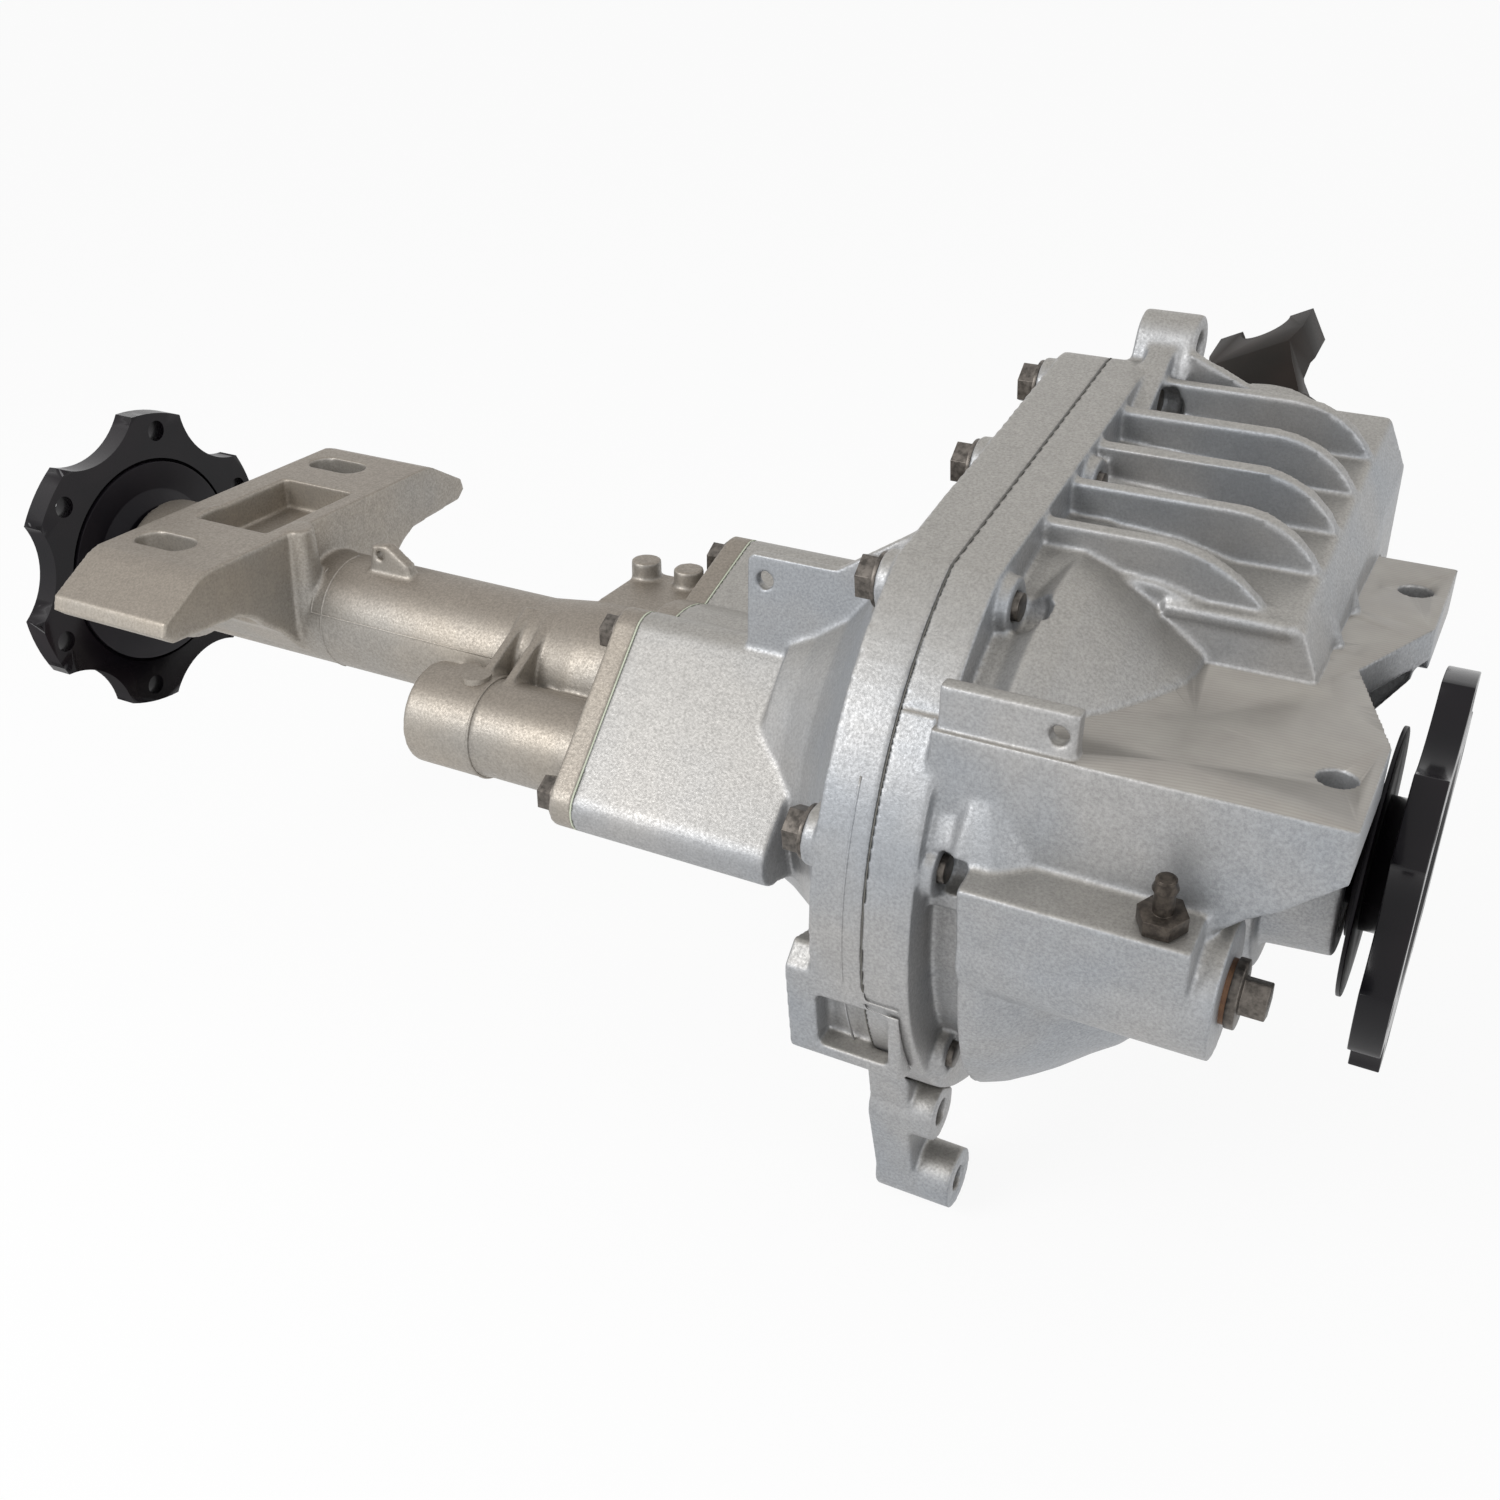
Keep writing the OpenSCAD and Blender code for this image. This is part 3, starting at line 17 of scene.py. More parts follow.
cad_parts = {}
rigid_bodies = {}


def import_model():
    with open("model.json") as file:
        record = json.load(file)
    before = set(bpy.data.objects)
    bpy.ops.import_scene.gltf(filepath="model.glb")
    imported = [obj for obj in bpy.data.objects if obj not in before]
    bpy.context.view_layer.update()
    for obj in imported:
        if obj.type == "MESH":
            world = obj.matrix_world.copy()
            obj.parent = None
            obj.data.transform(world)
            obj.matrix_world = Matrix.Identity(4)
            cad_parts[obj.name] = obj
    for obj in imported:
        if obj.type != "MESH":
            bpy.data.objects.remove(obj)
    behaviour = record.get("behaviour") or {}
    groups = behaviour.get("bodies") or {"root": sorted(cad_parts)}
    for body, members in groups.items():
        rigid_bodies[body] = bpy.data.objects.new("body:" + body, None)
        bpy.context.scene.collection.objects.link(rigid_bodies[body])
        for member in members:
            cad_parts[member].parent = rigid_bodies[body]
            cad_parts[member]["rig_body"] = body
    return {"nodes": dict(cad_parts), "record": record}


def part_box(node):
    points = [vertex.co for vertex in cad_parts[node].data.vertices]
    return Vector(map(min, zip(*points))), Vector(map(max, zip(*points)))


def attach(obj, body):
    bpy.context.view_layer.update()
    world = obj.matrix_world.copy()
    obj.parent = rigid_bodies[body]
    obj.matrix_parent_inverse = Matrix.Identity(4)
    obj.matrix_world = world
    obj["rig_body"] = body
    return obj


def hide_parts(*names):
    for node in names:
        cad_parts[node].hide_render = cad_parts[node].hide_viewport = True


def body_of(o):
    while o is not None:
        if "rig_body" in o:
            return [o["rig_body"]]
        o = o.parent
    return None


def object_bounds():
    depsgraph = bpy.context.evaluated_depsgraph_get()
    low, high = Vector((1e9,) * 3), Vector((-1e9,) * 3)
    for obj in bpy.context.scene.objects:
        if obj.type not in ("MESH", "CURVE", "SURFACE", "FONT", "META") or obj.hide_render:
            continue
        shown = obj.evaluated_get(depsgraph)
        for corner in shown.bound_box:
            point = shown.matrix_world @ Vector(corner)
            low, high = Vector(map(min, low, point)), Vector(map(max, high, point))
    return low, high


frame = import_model()
cad_box = [list(map(float, corner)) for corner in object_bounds()]
nodes = frame["nodes"]
record = frame["record"]
MM = 0.001
print(len(nodes), "nodes, box", cad_box)

# %% [markdown]
# Colours are written as sRGB hex values, as on a screen, but shaders work in linear light. One function
# converts them, so that a surface in plain light comes out in the colour that is written.

# %% Hex colours
def hex_colour(code):
    """sRGB hex to linear RGBA: c / 12.92 up to 0.04045, above it (c + 0.055) / 1.055 to the power 2.4."""
    c = np.array([int(code[i : i + 2], 16) for i in (1, 3, 5)]) / 255
    c = np.where(c <= 0.04045, c / 12.92, ((c + 0.055) / 1.055) ** 2.4)
    return (*c.tolist(), 1.0)


# %% [markdown]
# Every material below is a small tree of nodes. One helper adds a node, sets its options and its input
# values, and links its inputs to other nodes' outputs, so that each material reads as a short list.

# %% Add a node to a tree
def add(tree, kind, links=None, values=None, stops=(), **options):
    """Adds a node: links and values by input, stops for a ramp's colours, options for its properties."""
    n = tree.nodes.new(kind)
    for key, value in options.items():
        setattr(n, key, value)
    for key, value in (values or {}).items():
        n.inputs[key].default_value = value
    for key, socket in (links or {}).items():
        tree.links.new(socket, n.inputs[key])
    if stops:
        for element, (place, code) in zip(n.color_ramp.elements, stops):
            element.position = place
            element.color = hex_colour(code)
    return n


def material(name):
    """A new material with only a shader and the output in its tree; gives material, tree and shader."""
    mat = bpy.data.materials.new(name)
    mat.use_nodes = True
    tree = mat.node_tree
    tree.nodes.clear()
    shader = add(tree, "ShaderNodeBsdfPrincipled")
    add(tree, "ShaderNodeOutputMaterial", {"Surface": shader.outputs[0]})
    return mat, tree, shader


# %% [markdown]
# Worn and cast surfaces are never one even colour. A pattern that lightens or darkens a colour is a
# multiplication, so the hue stays and only the brightness wanders. A Mix node has a set of sockets for
# each kind of value under the same names, so its colour sockets are given by number.

# %% Lighten and darken a colour by a pattern
FACTOR = 0
COLOUR_A = 6
COLOUR_B = 7
COLOUR_OUT = 2


def shaded(tree, colour, pattern, reads, gives):
    """The colour times a grey; as the pattern goes over the span reads, the grey goes over the span gives."""
    span = {"From Min": reads[0], "From Max": reads[1], "To Min": gives[0], "To Max": gives[1]}
    grey = add(tree, "ShaderNodeMapRange", {"Value": pattern}, span).outputs[0]
    inputs = {COLOUR_A: colour, COLOUR_B: grey}
    both = add(tree, "ShaderNodeMix", inputs, {FACTOR: 1.0}, data_type="RGBA", blend_type="MULTIPLY")
    return both.outputs[COLOUR_OUT]


# %% [markdown]
# ## Blasted cast aluminium
#
# The carrier and the tube are die-cast and then blasted with fine grit. The grit leaves a grey skin of
# tiny pits that scatters light softly, so the metal looks nearly matt. Faces that point up get a darker,
# browner colour, which is painted shade. The pits are about 0.5 mm; they are drawn at 1.3 mm here so
# that they show at this distance.

# %% The cast skin
PATCH_MM = 70.0
BLOTCH_MM = 9.0
GRIT_MM = 1.3
PIT_DEPTH_MM = 0.35


def cast_aluminium(name, side, cool, top):
    """Patches of cool and side, with top, a painted shade, by smoothstep of the normal's z, times blotches
    and grit.
    """
    mat, tree, shader = material(name)
    at = {"Vector": add(tree, "ShaderNodeTexCoord").outputs["Object"]}
    patch = add(tree, "ShaderNodeTexNoise", at, {"Scale": 1 / (PATCH_MM * MM), "Detail": 3}).outputs["Fac"]
    colour = add(tree, "ShaderNodeValToRGB", {"Fac": patch}, stops=[(0.35, cool), (0.65, side)]).outputs[0]
    normal = add(tree, "ShaderNodeNewGeometry").outputs["Normal"]
    up = add(tree, "ShaderNodeSeparateXYZ", {0: normal}).outputs["Z"]
    # Painted shade: faces that point up blend into the darker, browner top colour.
    span = {"From Min": 0.35, "From Max": 0.95}
    painted_shade_on_tops = add(tree, "ShaderNodeMapRange", {"Value": up}, span, interpolation_type="SMOOTHSTEP").outputs[0]
    inputs = {FACTOR: painted_shade_on_tops, COLOUR_A: colour}
    painted_shade_colour = {COLOUR_B: hex_colour(top)}
    with_painted_shade = add(tree, "ShaderNodeMix", inputs, painted_shade_colour, data_type="RGBA").outputs[COLOUR_OUT]
    lumps = {"Scale": 1 / (BLOTCH_MM * MM), "Detail": 4, "Roughness": 0.6}
    blotch = add(tree, "ShaderNodeTexNoise", at, lumps).outputs["Fac"]
    cloudy = shaded(tree, with_painted_shade, blotch, (0.3, 0.7), (0.95, 1.03))
    lumps = {"Scale": 1 / (GRIT_MM * MM), "Detail": 3, "Roughness": 0.7}
    grit = add(tree, "ShaderNodeTexNoise", at, lumps).outputs["Fac"]
    gritty = shaded(tree, cloudy, grit, (0.35, 0.68), (0.86, 1.16))
    span = {"From Min": 0.3, "From Max": 0.7, "To Min": 0.56, "To Max": 0.40}
    rough = add(tree, "ShaderNodeMapRange", {"Value": grit}, span).outputs[0]
    pits = add(tree, "ShaderNodeBump", {"Height": grit}, {"Strength": 0.4, "Distance": PIT_DEPTH_MM * MM})
    tree.links.new(gritty, shader.inputs["Base Color"])
    tree.links.new(rough, shader.inputs["Roughness"])
    tree.links.new(pits.outputs[0], shader.inputs["Normal"])
    shader.inputs["Metallic"].default_value = 0.7
    return mat


# The last colour of each is painted shade, for the faces that point up.
carrier_metal = cast_aluminium("blasted_cast_aluminium", "#a8a7a6", "#9da0a4", "#a19e99")
tube_metal = cast_aluminium("blasted_cast_aluminium_warm", "#a59d92", "#9d9993", "#8f877d")
print("cast skins:", carrier_metal.name, tube_metal.name)

# %% [markdown]
# ## Milled pad face
#
# The shelf on top of the carrier is a mounting pad, so a face mill has gone over it in arcs. It has no
# pits, and an oil film makes it browner than the cast skin round it. The wave texture turns once in
# 2 pi / 20 of its unit, which gives its scale for arcs that are MILL_STEP_MM apart. Real arcs are about
# 0.5 mm apart and would blur at this distance.

# %% The milled face
MILL_STEP_MM = 2.244
MILL_CENTRE_MM = (-50, -350, 0)
WAVE_TURNS = 20 / (2 * math.pi)
STAIN_MM = 22.0
MILL_DEPTH_MM = 0.1


def milled_aluminium(name, dark, light):
    """A stained colour times a sine of the distance from the mill's centre, one turn every MILL_STEP_MM."""
    mat, tree, shader = material(name)
    where = add(tree, "ShaderNodeTexCoord").outputs["Object"]
    shift = {"Location": [-c * MM for c in MILL_CENTRE_MM]}
    moved = add(tree, "ShaderNodeMapping", {"Vector": where}, shift).outputs[0]
    rings = {"Scale": 1 / (WAVE_TURNS * MILL_STEP_MM * MM), "Distortion": 0.4, "Detail": 2}
    wave = add(tree, "ShaderNodeTexWave", {"Vector": moved}, rings, wave_type="RINGS", rings_direction="Z")
    arcs = wave.outputs["Fac"]
    lumps = {"Scale": 1 / (STAIN_MM * MM), "Detail": 4, "Roughness": 0.6}
    stain = add(tree, "ShaderNodeTexNoise", {"Vector": where}, lumps).outputs["Fac"]
    colour = add(tree, "ShaderNodeValToRGB", {"Fac": stain}, stops=[(0.3, dark), (0.7, light)]).outputs[0]
    lined = shaded(tree, colour, arcs, (0, 1), (0.93, 1.05))
    bump = add(tree, "ShaderNodeBump", {"Height": arcs}, {"Strength": 0.1, "Distance": MILL_DEPTH_MM * MM})
    tree.links.new(lined, shader.inputs["Base Color"])
    tree.links.new(bump.outputs[0], shader.inputs["Normal"])
    shader.inputs["Metallic"].default_value = 0.6
    shader.inputs["Roughness"].default_value = 0.42
    return mat


pad_metal = milled_aluminium("milled_aluminium_pad", "#99948e", "#a39f98")
print("pad face:", pad_metal.name)

# %% [markdown]
# ## Black enamel
#
# The flanges are forged steel dipped in black enamel. It is glossy, and seen at a low angle it turns a
# little purple-brown. The yoke has a duller brown-black coat, and the slingers a thin dark paint. Wet
# paint dries with a faint orange peel, which is the bump.

# %% Enamel on the flanges
CLOUD_MM = 45.0
PEEL_MM = 6.0
PEEL_DEPTH_MM = 0.3


def enamel(name, dark, tint, rough, coat):
    """Paint over steel: noise blends dark into tint, finer noise is the orange peel, coat the gloss."""
    mat, tree, shader = material(name)
    at = {"Vector": add(tree, "ShaderNodeTexCoord").outputs["Object"]}
    cloud = add(tree, "ShaderNodeTexNoise", at, {"Scale": 1 / (CLOUD_MM * MM), "Detail": 2}).outputs["Fac"]
    colour = add(tree, "ShaderNodeValToRGB", {"Fac": cloud}, stops=[(0.35, dark), (0.7, tint)]).outputs[0]
    peel = add(tree, "ShaderNodeTexNoise", at, {"Scale": 1 / (PEEL_MM * MM), "Detail": 2}).outputs["Fac"]
    bump = add(tree, "ShaderNodeBump", {"Height": peel}, {"Strength": 0.15, "Distance": PEEL_DEPTH_MM * MM})
    tree.links.new(colour, shader.inputs["Base Color"])
    tree.links.new(bump.outputs[0], shader.inputs["Normal"])
    shader.inputs["Roughness"].default_value = rough
    shader.inputs["Specular IOR Level"].default_value = 0.16
    shader.inputs["Coat Weight"].default_value = coat
    shader.inputs["Coat Roughness"].default_value = 0.1
    return mat


flange_enamel = enamel("gloss_black_enamel", "#0f0e12", "#1a1519", rough=0.22, coat=0.12)
yoke_coat = enamel("brown_black_yoke_coating", "#17130f", "#2a211c", rough=0.5, coat=0.0)
slinger_paint = enamel("dark_painted_slinger", "#141217", "#1f1b1f", rough=0.4, coat=0.0)
print("paints:", flange_enamel.name, yoke_coat.name, slinger_paint.name)

# %% [markdown]
# ## Small and hidden parts
#
# Bolts, plug and vent are steel with a dark phosphate or oxide skin, the hidden gears and shafts are
# ground steel, and gaskets and seals are fibre and rubber. All are one recipe, a fine mottle, with other
# colours and roughness, and without the metal where there is none.

# %% Mottled finishes
MOTTLE_MM = 3.0
MOTTLE_DEPTH_MM = 0.2


def mottled(name, dark, light, rough, grain_mm=MOTTLE_MM, metallic=0.9):
    """Noise blends dark into light, moves the roughness from rough - 0.07 to rough + 0.1, and is the bump."""
    mat, tree, shader = material(name)
    at = {"Vector": add(tree, "ShaderNodeTexCoord").outputs["Object"]}
    lumps = {"Scale": 1 / (grain_mm * MM), "Detail": 4, "Roughness": 0.6}
    mottle = add(tree, "ShaderNodeTexNoise", at, lumps).outputs["Fac"]
    colour = add(tree, "ShaderNodeValToRGB", {"Fac": mottle}, stops=[(0.35, dark), (0.65, light)]).outputs[0]
    span = {"From Min": 0.3, "From Max": 0.7, "To Min": rough - 0.07, "To Max": rough + 0.1}
    spread = add(tree, "ShaderNodeMapRange", {"Value": mottle}, span).outputs[0]
    depth = {"Strength": 0.1, "Distance": MOTTLE_DEPTH_MM * MM}
    bump = add(tree, "ShaderNodeBump", {"Height": mottle}, depth)
    tree.links.new(colour, shader.inputs["Base Color"])
    tree.links.new(spread, shader.inputs["Roughness"])
    tree.links.new(bump.outputs[0], shader.inputs["Normal"])
    shader.inputs["Metallic"].default_value = metallic
    return mat


not_metal = {"grain_mm": 2, "metallic": 0.0}
finishes = {
    "cast_aluminium": carrier_metal,
    "sealant": mottled("cured_grey_sealant", "#5a5853", "#6b6963", 0.6, **not_metal),
    "gasket": mottled("fibre_gasket", "#b9bfab", "#c6cab8", 0.75, **not_metal),
    "bolt_steel": mottled("phosphated_bolt_steel", "#4c4844", "#77716b", 0.4),
    "vent_steel": mottled("dark_oxide_steel", "#3a3531", "#5a534c", 0.38),
    "copper": mottled("dulled_copper", "#6f5546", "#84664f", 0.45),
    "black_enamel": flange_enamel,
    "yoke_coating": yoke_coat,
    "pressed_steel": slinger_paint,
    "seal_rubber": mottled("moulded_seal_rubber", "#151515", "#1f1f1f", 0.6, **not_metal),
    "bronze": mottled("bearing_bronze", "#8d6f42", "#a5854f", 0.35),
    "case_iron": mottled("cast_iron", "#4a4a4a", "#5a5a5a", 0.6),
    "gear_steel": mottled("ground_gear_steel", "#8b8e93", "#a5a8ad", 0.25),
    "bearing_steel": mottled("polished_bearing_steel", "#b5b8bc", "#c8cbce", 0.15),
}
slots = {row["node"]: row["material_slot"] for row in record["subparts"]}
for name, obj in nodes.items():
    obj.data.materials.clear()
    obj.data.materials.append(finishes[slots[name]])
print("finishes on", len(nodes), "nodes")

# %% [markdown]
# ## Castings with fillets
#
# A die casting has a radius in every corner. The solids have sharp ones, so each casting is copied,
# rebuilt as even small cells, and smoothed a little: corners melt into radii of about 2 mm while the
# faces stay where they are. Faces that a cutter has been over keep their sharp edges: the cells on
# them are left out of the smoothing and set back on the plane. Then the flat areas are thinned again.

# %% Copies of solids
WELD_MM = 0.002


def put_in_scene(name, data):
    """A new object with the mesh, lamp or camera data, linked to the scene."""
    obj = bpy.data.objects.new(name, data)
    bpy.context.scene.collection.objects.link(obj)
    return obj


def own_copy(name, source):
    """A copy of a node's mesh with its doubled vertices merged, as a new object."""
    work = bmesh.new()
    work.from_mesh(nodes[source].data)
    bmesh.ops.remove_doubles(work, verts=work.verts, dist=WELD_MM * MM)
    mesh = bpy.data.meshes.new(name)
    work.to_mesh(mesh)
    work.free()
    return put_in_scene(name, mesh)


def settle(obj):
    """Puts the result of an object's modifiers in its own mesh and removes them."""
    graph = bpy.context.evaluated_depsgraph_get()
    done = bpy.data.meshes.new_from_object(obj.evaluated_get(graph))
    obj.modifiers.clear()
    obj.data = done
    done.name = obj.name
    return done


def stand_in(obj, source):
    """Rides on the node's body and stands for it; the node itself is hidden."""
    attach(obj, body_of(nodes[source])[0])
    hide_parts(source)


# %% [markdown]
# A cut face is given by its axis and its place. Vertices within SNAP_CELLS of it that face it go back on
# the plane, and those within GUARD_CELLS of it stay out of the smoothing, which keeps the edge crisp.

# %% Melt the corners of a casting
AXES = {"X": 0, "Y": 1, "Z": 2}
SNAP_CELLS = 1.1
SNAP_FACING = 0.5
GUARD_CELLS = 1.6
GUARD_FACING = 0.3
SMOOTH_ROUNDS = 6
SMOOTH_SHARE = 0.5


def triples(items, field):
    """A field of three numbers, read from all vertices or faces at once, one row for each."""
    flat = np.empty(3 * len(items))
    items.foreach_get(field, flat)
    return flat.reshape(-1, 3)


def cast_skin(name, source, cell_mm, triangles, mats, cut_faces):
    """Rebuilds a node in cells and moves each vertex, round by round, half way to its neighbours' mean."""
    obj = own_copy(name, source)
    cells = obj.modifiers.new("cells", "REMESH")
    cells.mode = "VOXEL"
    cells.voxel_size = cell_mm * MM
    full = settle(obj)
    place = triples(full.vertices, "co")
    facing = np.abs(triples(full.vertices, "normal"))
    melt = np.ones(len(place), bool)
    for axis, at in cut_faces:
        k = AXES[axis]
        gap = np.abs(place[:, k] - at * MM) / (cell_mm * MM)
        near = (gap < SNAP_CELLS) & (facing[:, k] > SNAP_FACING)
        place[near, k] = at * MM
        melt &= ~((gap < GUARD_CELLS) & (facing[:, k] > GUARD_FACING))
    full.vertices.foreach_set("co", place.ravel())
    obj.vertex_groups.clear()
    group = obj.vertex_groups.new(name="melt")
    group.add(np.nonzero(melt)[0].tolist(), 1.0, "REPLACE")
    soften = obj.modifiers.new("soft", "SMOOTH")
    soften.factor = SMOOTH_SHARE
    soften.iterations = SMOOTH_ROUNDS
    soften.vertex_group = "melt"
    thin = obj.modifiers.new("thin", "DECIMATE")
    thin.ratio = min(1.0, triangles / max(1, 2 * len(full.polygons)))
    done = settle(obj)
    done.materials.clear()
    for mat in mats:
        done.materials.append(mat)
    done.shade_smooth()
    stand_in(obj, source)
    print(name, "cells", len(full.polygons), "faces", len(done.polygons))
    return done


# %% [markdown]
# The carrier's right half has one face that is milled on show, the shelf. Its flat faces are found by
# their height and by their normal, and get the milled finish.

# %% The three castings
SHELF_TOP = 86.9
FLUSH_MM = 0.4
FACES_UP = 0.97
TUBE_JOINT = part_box("tube_gasket")
coarse = 1.0
carrier_cell = 1.3 * coarse
tube_cell = 1.2 * coarse
RIGHT_TRIANGLES = 190000
LEFT_TRIANGLES = 170000
TUBE_TRIANGLES = 160000
right_seam = ("X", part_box("case_right")[0][0] / MM)
left_seam = ("X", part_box("case_left")[1][0] / MM)
joint_left = ("X", TUBE_JOINT[0][0] / MM)
joint_right = ("X", TUBE_JOINT[1][0] / MM)
right_half = cast_skin(
    "carrier_right_casting",
    "case_right",
    carrier_cell,
    RIGHT_TRIANGLES,
    [carrier_metal, pad_metal],
    [("Z", SHELF_TOP), right_seam],
)
centres = triples(right_half.polygons, "center")
normals = triples(right_half.polygons, "normal")
shelf = (np.abs(centres[:, 2] - SHELF_TOP * MM) < FLUSH_MM * MM) & (normals[:, 2] > FACES_UP)
right_half.polygons.foreach_set("material_index", shelf.astype(np.int32))
left_cuts = [left_seam, joint_right]
cast_skin("carrier_left_casting", "case_left", carrier_cell, LEFT_TRIANGLES, [carrier_metal], left_cuts)
cast_skin("axle_tube_casting", "axle_tube", tube_cell, TUBE_TRIANGLES, [tube_metal], [joint_left])
print("milled faces on the shelf", int(shelf.sum()))

# %% [markdown]
# ## Mould lines
#
# Where two parts of a die meet, or a panel of the die was let in, a casting carries a thin raised line.
# Each line here is a round bar sunk half way or more into the surface: along the tube's front panel,
# round the actuator boss, and along the joint flange of the left half. A bar is a circle carried along
# a path, so it is worked out as an array of rings, and one function closes rings with faces.

# %% Faces over rings of points
def skin_over(rings, closed, first=0):
    """Points and faces of a stack of rings, numbered from first: quads between rings, caps at open ends."""
    count, around_it = rings.shape[:2]
    row = np.arange(count if closed else count - 1)[:, None]
    column = np.arange(around_it)[None, :]
    here = row * around_it
    there = (row + 1) % count * around_it
    turn = (column + 1) % around_it
    quads = np.stack([here + column, here + turn, there + turn, there + column], axis=-1)
    faces = (first + quads).reshape(-1, 4).tolist()
    if not closed:
        cap = first + column[0]
        faces += [cap[::-1].tolist(), (cap + (count - 1) * around_it).tolist()]
    return rings.reshape(-1, 3), faces


def on_housing(name, points_mm, faces, mat):
    """A new smooth piece from points in mm with the material mat, riding on the housing; gives its mesh."""
    mesh = bpy.data.meshes.new(name)
    mesh.from_pydata((points_mm * MM).tolist(), [], faces)
    mesh.materials.append(mat)
    mesh.shade_smooth()
    obj = put_in_scene(name, mesh)
    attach(obj, "housing")
    return mesh


# %% Bars along paths
BAR_SIDES = 8


def unit(rows):
    """Each row divided by its length."""
    return rows / np.linalg.norm(rows, axis=1, keepdims=True)


def around(x, centre, radius, start, end, steps=24):
    """An arc about an X axis: y = cy - r cos a, z = cz + r sin a, a in degrees from the front upwards."""
    a = np.radians(np.linspace(start, end, steps))
    y = centre[0] - radius * np.cos(a)
    z = centre[1] + radius * np.sin(a)
    return np.stack([np.full(steps, x), y, z], axis=1)


def bar(path, centre, radius, first):
    """Rings p + r (cos b out + sin b across) along a path; out points away from the X axis at centre."""
    closed = np.allclose(path[0], path[-1])
    points = path[:-1] if closed else path
    step = unit(np.diff(path, axis=0))
    before = np.roll(step, 1, axis=0) if closed else np.vstack([step[:1], step])
    after = step if closed else np.vstack([step, step[-1:]])
    along = unit(before + after)
    out = unit((points - np.array([0, *centre])) * (0, 1, 1))
    across = np.cross(along, out)
    b = np.linspace(0, 2 * math.pi, BAR_SIDES, endpoint=False)[None, :, None]
    rings = points[:, None] + radius * (np.cos(b) * out[:, None] + np.sin(b) * across[:, None])
    return skin_over(rings, closed, first)


def mould_lines(name, paths, radius, mat):
    """One piece of bars along several paths, each given with the centre that it runs round."""
    points = np.empty((0, 3))
    faces = []
    for path, centre in paths:
        more, sides = bar(path, centre, radius, len(points))
        points = np.vstack([points, more])
        faces += sides
    on_housing(name, points, faces, mat)
    print(name, "faces", len(faces))


# %% [markdown]
# The panel's edge goes down the end of the panel, along the tube and up again by a degree, where it runs
# out. A second line, where the two halves of the die met, goes round the front of the tube just beside
# the panel's end.

# %% Lines on the tube
AXLE_LINE = (0.0, 0.0)
TUBE_R = 32.0
TUBE_LINE_R = 0.8
PANEL_LEFT = -583.0
PANEL_RIGHT = -452.0
PANEL_LOW = 17.0
PANEL_HIGH = 66.0
PANEL_TURN_UP = 1.0
PANEL_R = TUBE_R - 0.2
DIE_LINE_X = PANEL_LEFT + 7
DIE_LINE_R = TUBE_R - 0.3
DIE_LINE_LOW = -60.0
DIE_LINE_HIGH = 100.0
BOSS_AXIS = (-56.2, -14.6)
BOSS_R = 26.8
BOSS_LINE_X = -442.0
BOSS_LINE_R = BOSS_R - 0.5
BOSS_LINE_STEPS = 60

panel_end = around(PANEL_LEFT, AXLE_LINE, PANEL_R, PANEL_HIGH, PANEL_LOW)
panel_foot = around(PANEL_RIGHT, AXLE_LINE, PANEL_R, PANEL_LOW, PANEL_LOW + PANEL_TURN_UP, 2)
die_line = around(DIE_LINE_X, AXLE_LINE, DIE_LINE_R, DIE_LINE_LOW, DIE_LINE_HIGH)
boss_line = around(BOSS_LINE_X, BOSS_AXIS, BOSS_LINE_R, 0, 360, BOSS_LINE_STEPS)
tube_paths = [
    (np.concatenate([panel_end, panel_foot]), AXLE_LINE),
    (die_line, AXLE_LINE),
    (boss_line, BOSS_AXIS),
]
mould_lines("tube_mould_lines", tube_paths, TUBE_LINE_R, tube_metal)

# %% [markdown]
# A die pushes its casting out with round pins, and each pin leaves a low round pad. The one on top of
# the actuator boss is in plain sight. It is a circle carried upwards that narrows a little, sunk into
# the boss.

# %% The disc on the actuator boss
DISC_R = 8.0
DISC_DRAFT = 0.5
DISC_DEEP = 6.0
DISC_X = -452.0
DISC_AHEAD = 1.0
DISC_SUNK = 1.2
DISC_MIDDLE = (DISC_X, BOSS_AXIS[0] - DISC_AHEAD, BOSS_AXIS[1] + BOSS_R - DISC_SUNK)
DISC_SIDES = 40
DISC_CREASE = math.radians(40)

turn = np.linspace(0, 2 * math.pi, DISC_SIDES, endpoint=False)
circle = np.stack([np.cos(turn), np.sin(turn), np.zeros(DISC_SIDES)], axis=1)
foot = circle * DISC_R - (0, 0, DISC_DEEP / 2)
top = circle * (DISC_R - DISC_DRAFT) + (0, 0, DISC_DEEP / 2)
points, faces = skin_over(np.stack([foot, top]) + DISC_MIDDLE, closed=False)
disc = on_housing("boss_ejector_disc", points, faces, tube_metal)
disc.set_sharp_from_angle(angle=DISC_CREASE)
print("disc faces", len(faces))

# %% [markdown]
# The carrier's nose is tilted up by 9.8 degrees about the axle's line. Places on the carrier are easier
# to give before that tilt, so one function turns them.

# %% The line on the carrier's rim
TILT = math.radians(9.8)
SEAM = -197.0
RIM_LINE_X = SEAM - 9
RIM_LINE_R = 149.9
RIM_LINE_LOW = -28.0
RIM_LINE_HIGH = 34.0
RIM_LINE_STEPS = 30
CARRIER_LINE_R = 0.55


def tilted(points):
    """Turns rows (x, y, z) about the axle's line: y cos - z sin, y sin + z cos."""
    x, y, z = points.T
    ahead = y * math.cos(TILT) - z * math.sin(TILT)
    up = y * math.sin(TILT) + z * math.cos(TILT)
    return np.stack([x, ahead, up], axis=1)


level_line = around(RIM_LINE_X, AXLE_LINE, RIM_LINE_R, RIM_LINE_LOW, RIM_LINE_HIGH, RIM_LINE_STEPS)
mould_lines("carrier_mould_lines", [(tilted(level_line), AXLE_LINE)], CARRIER_LINE_R, carrier_metal)

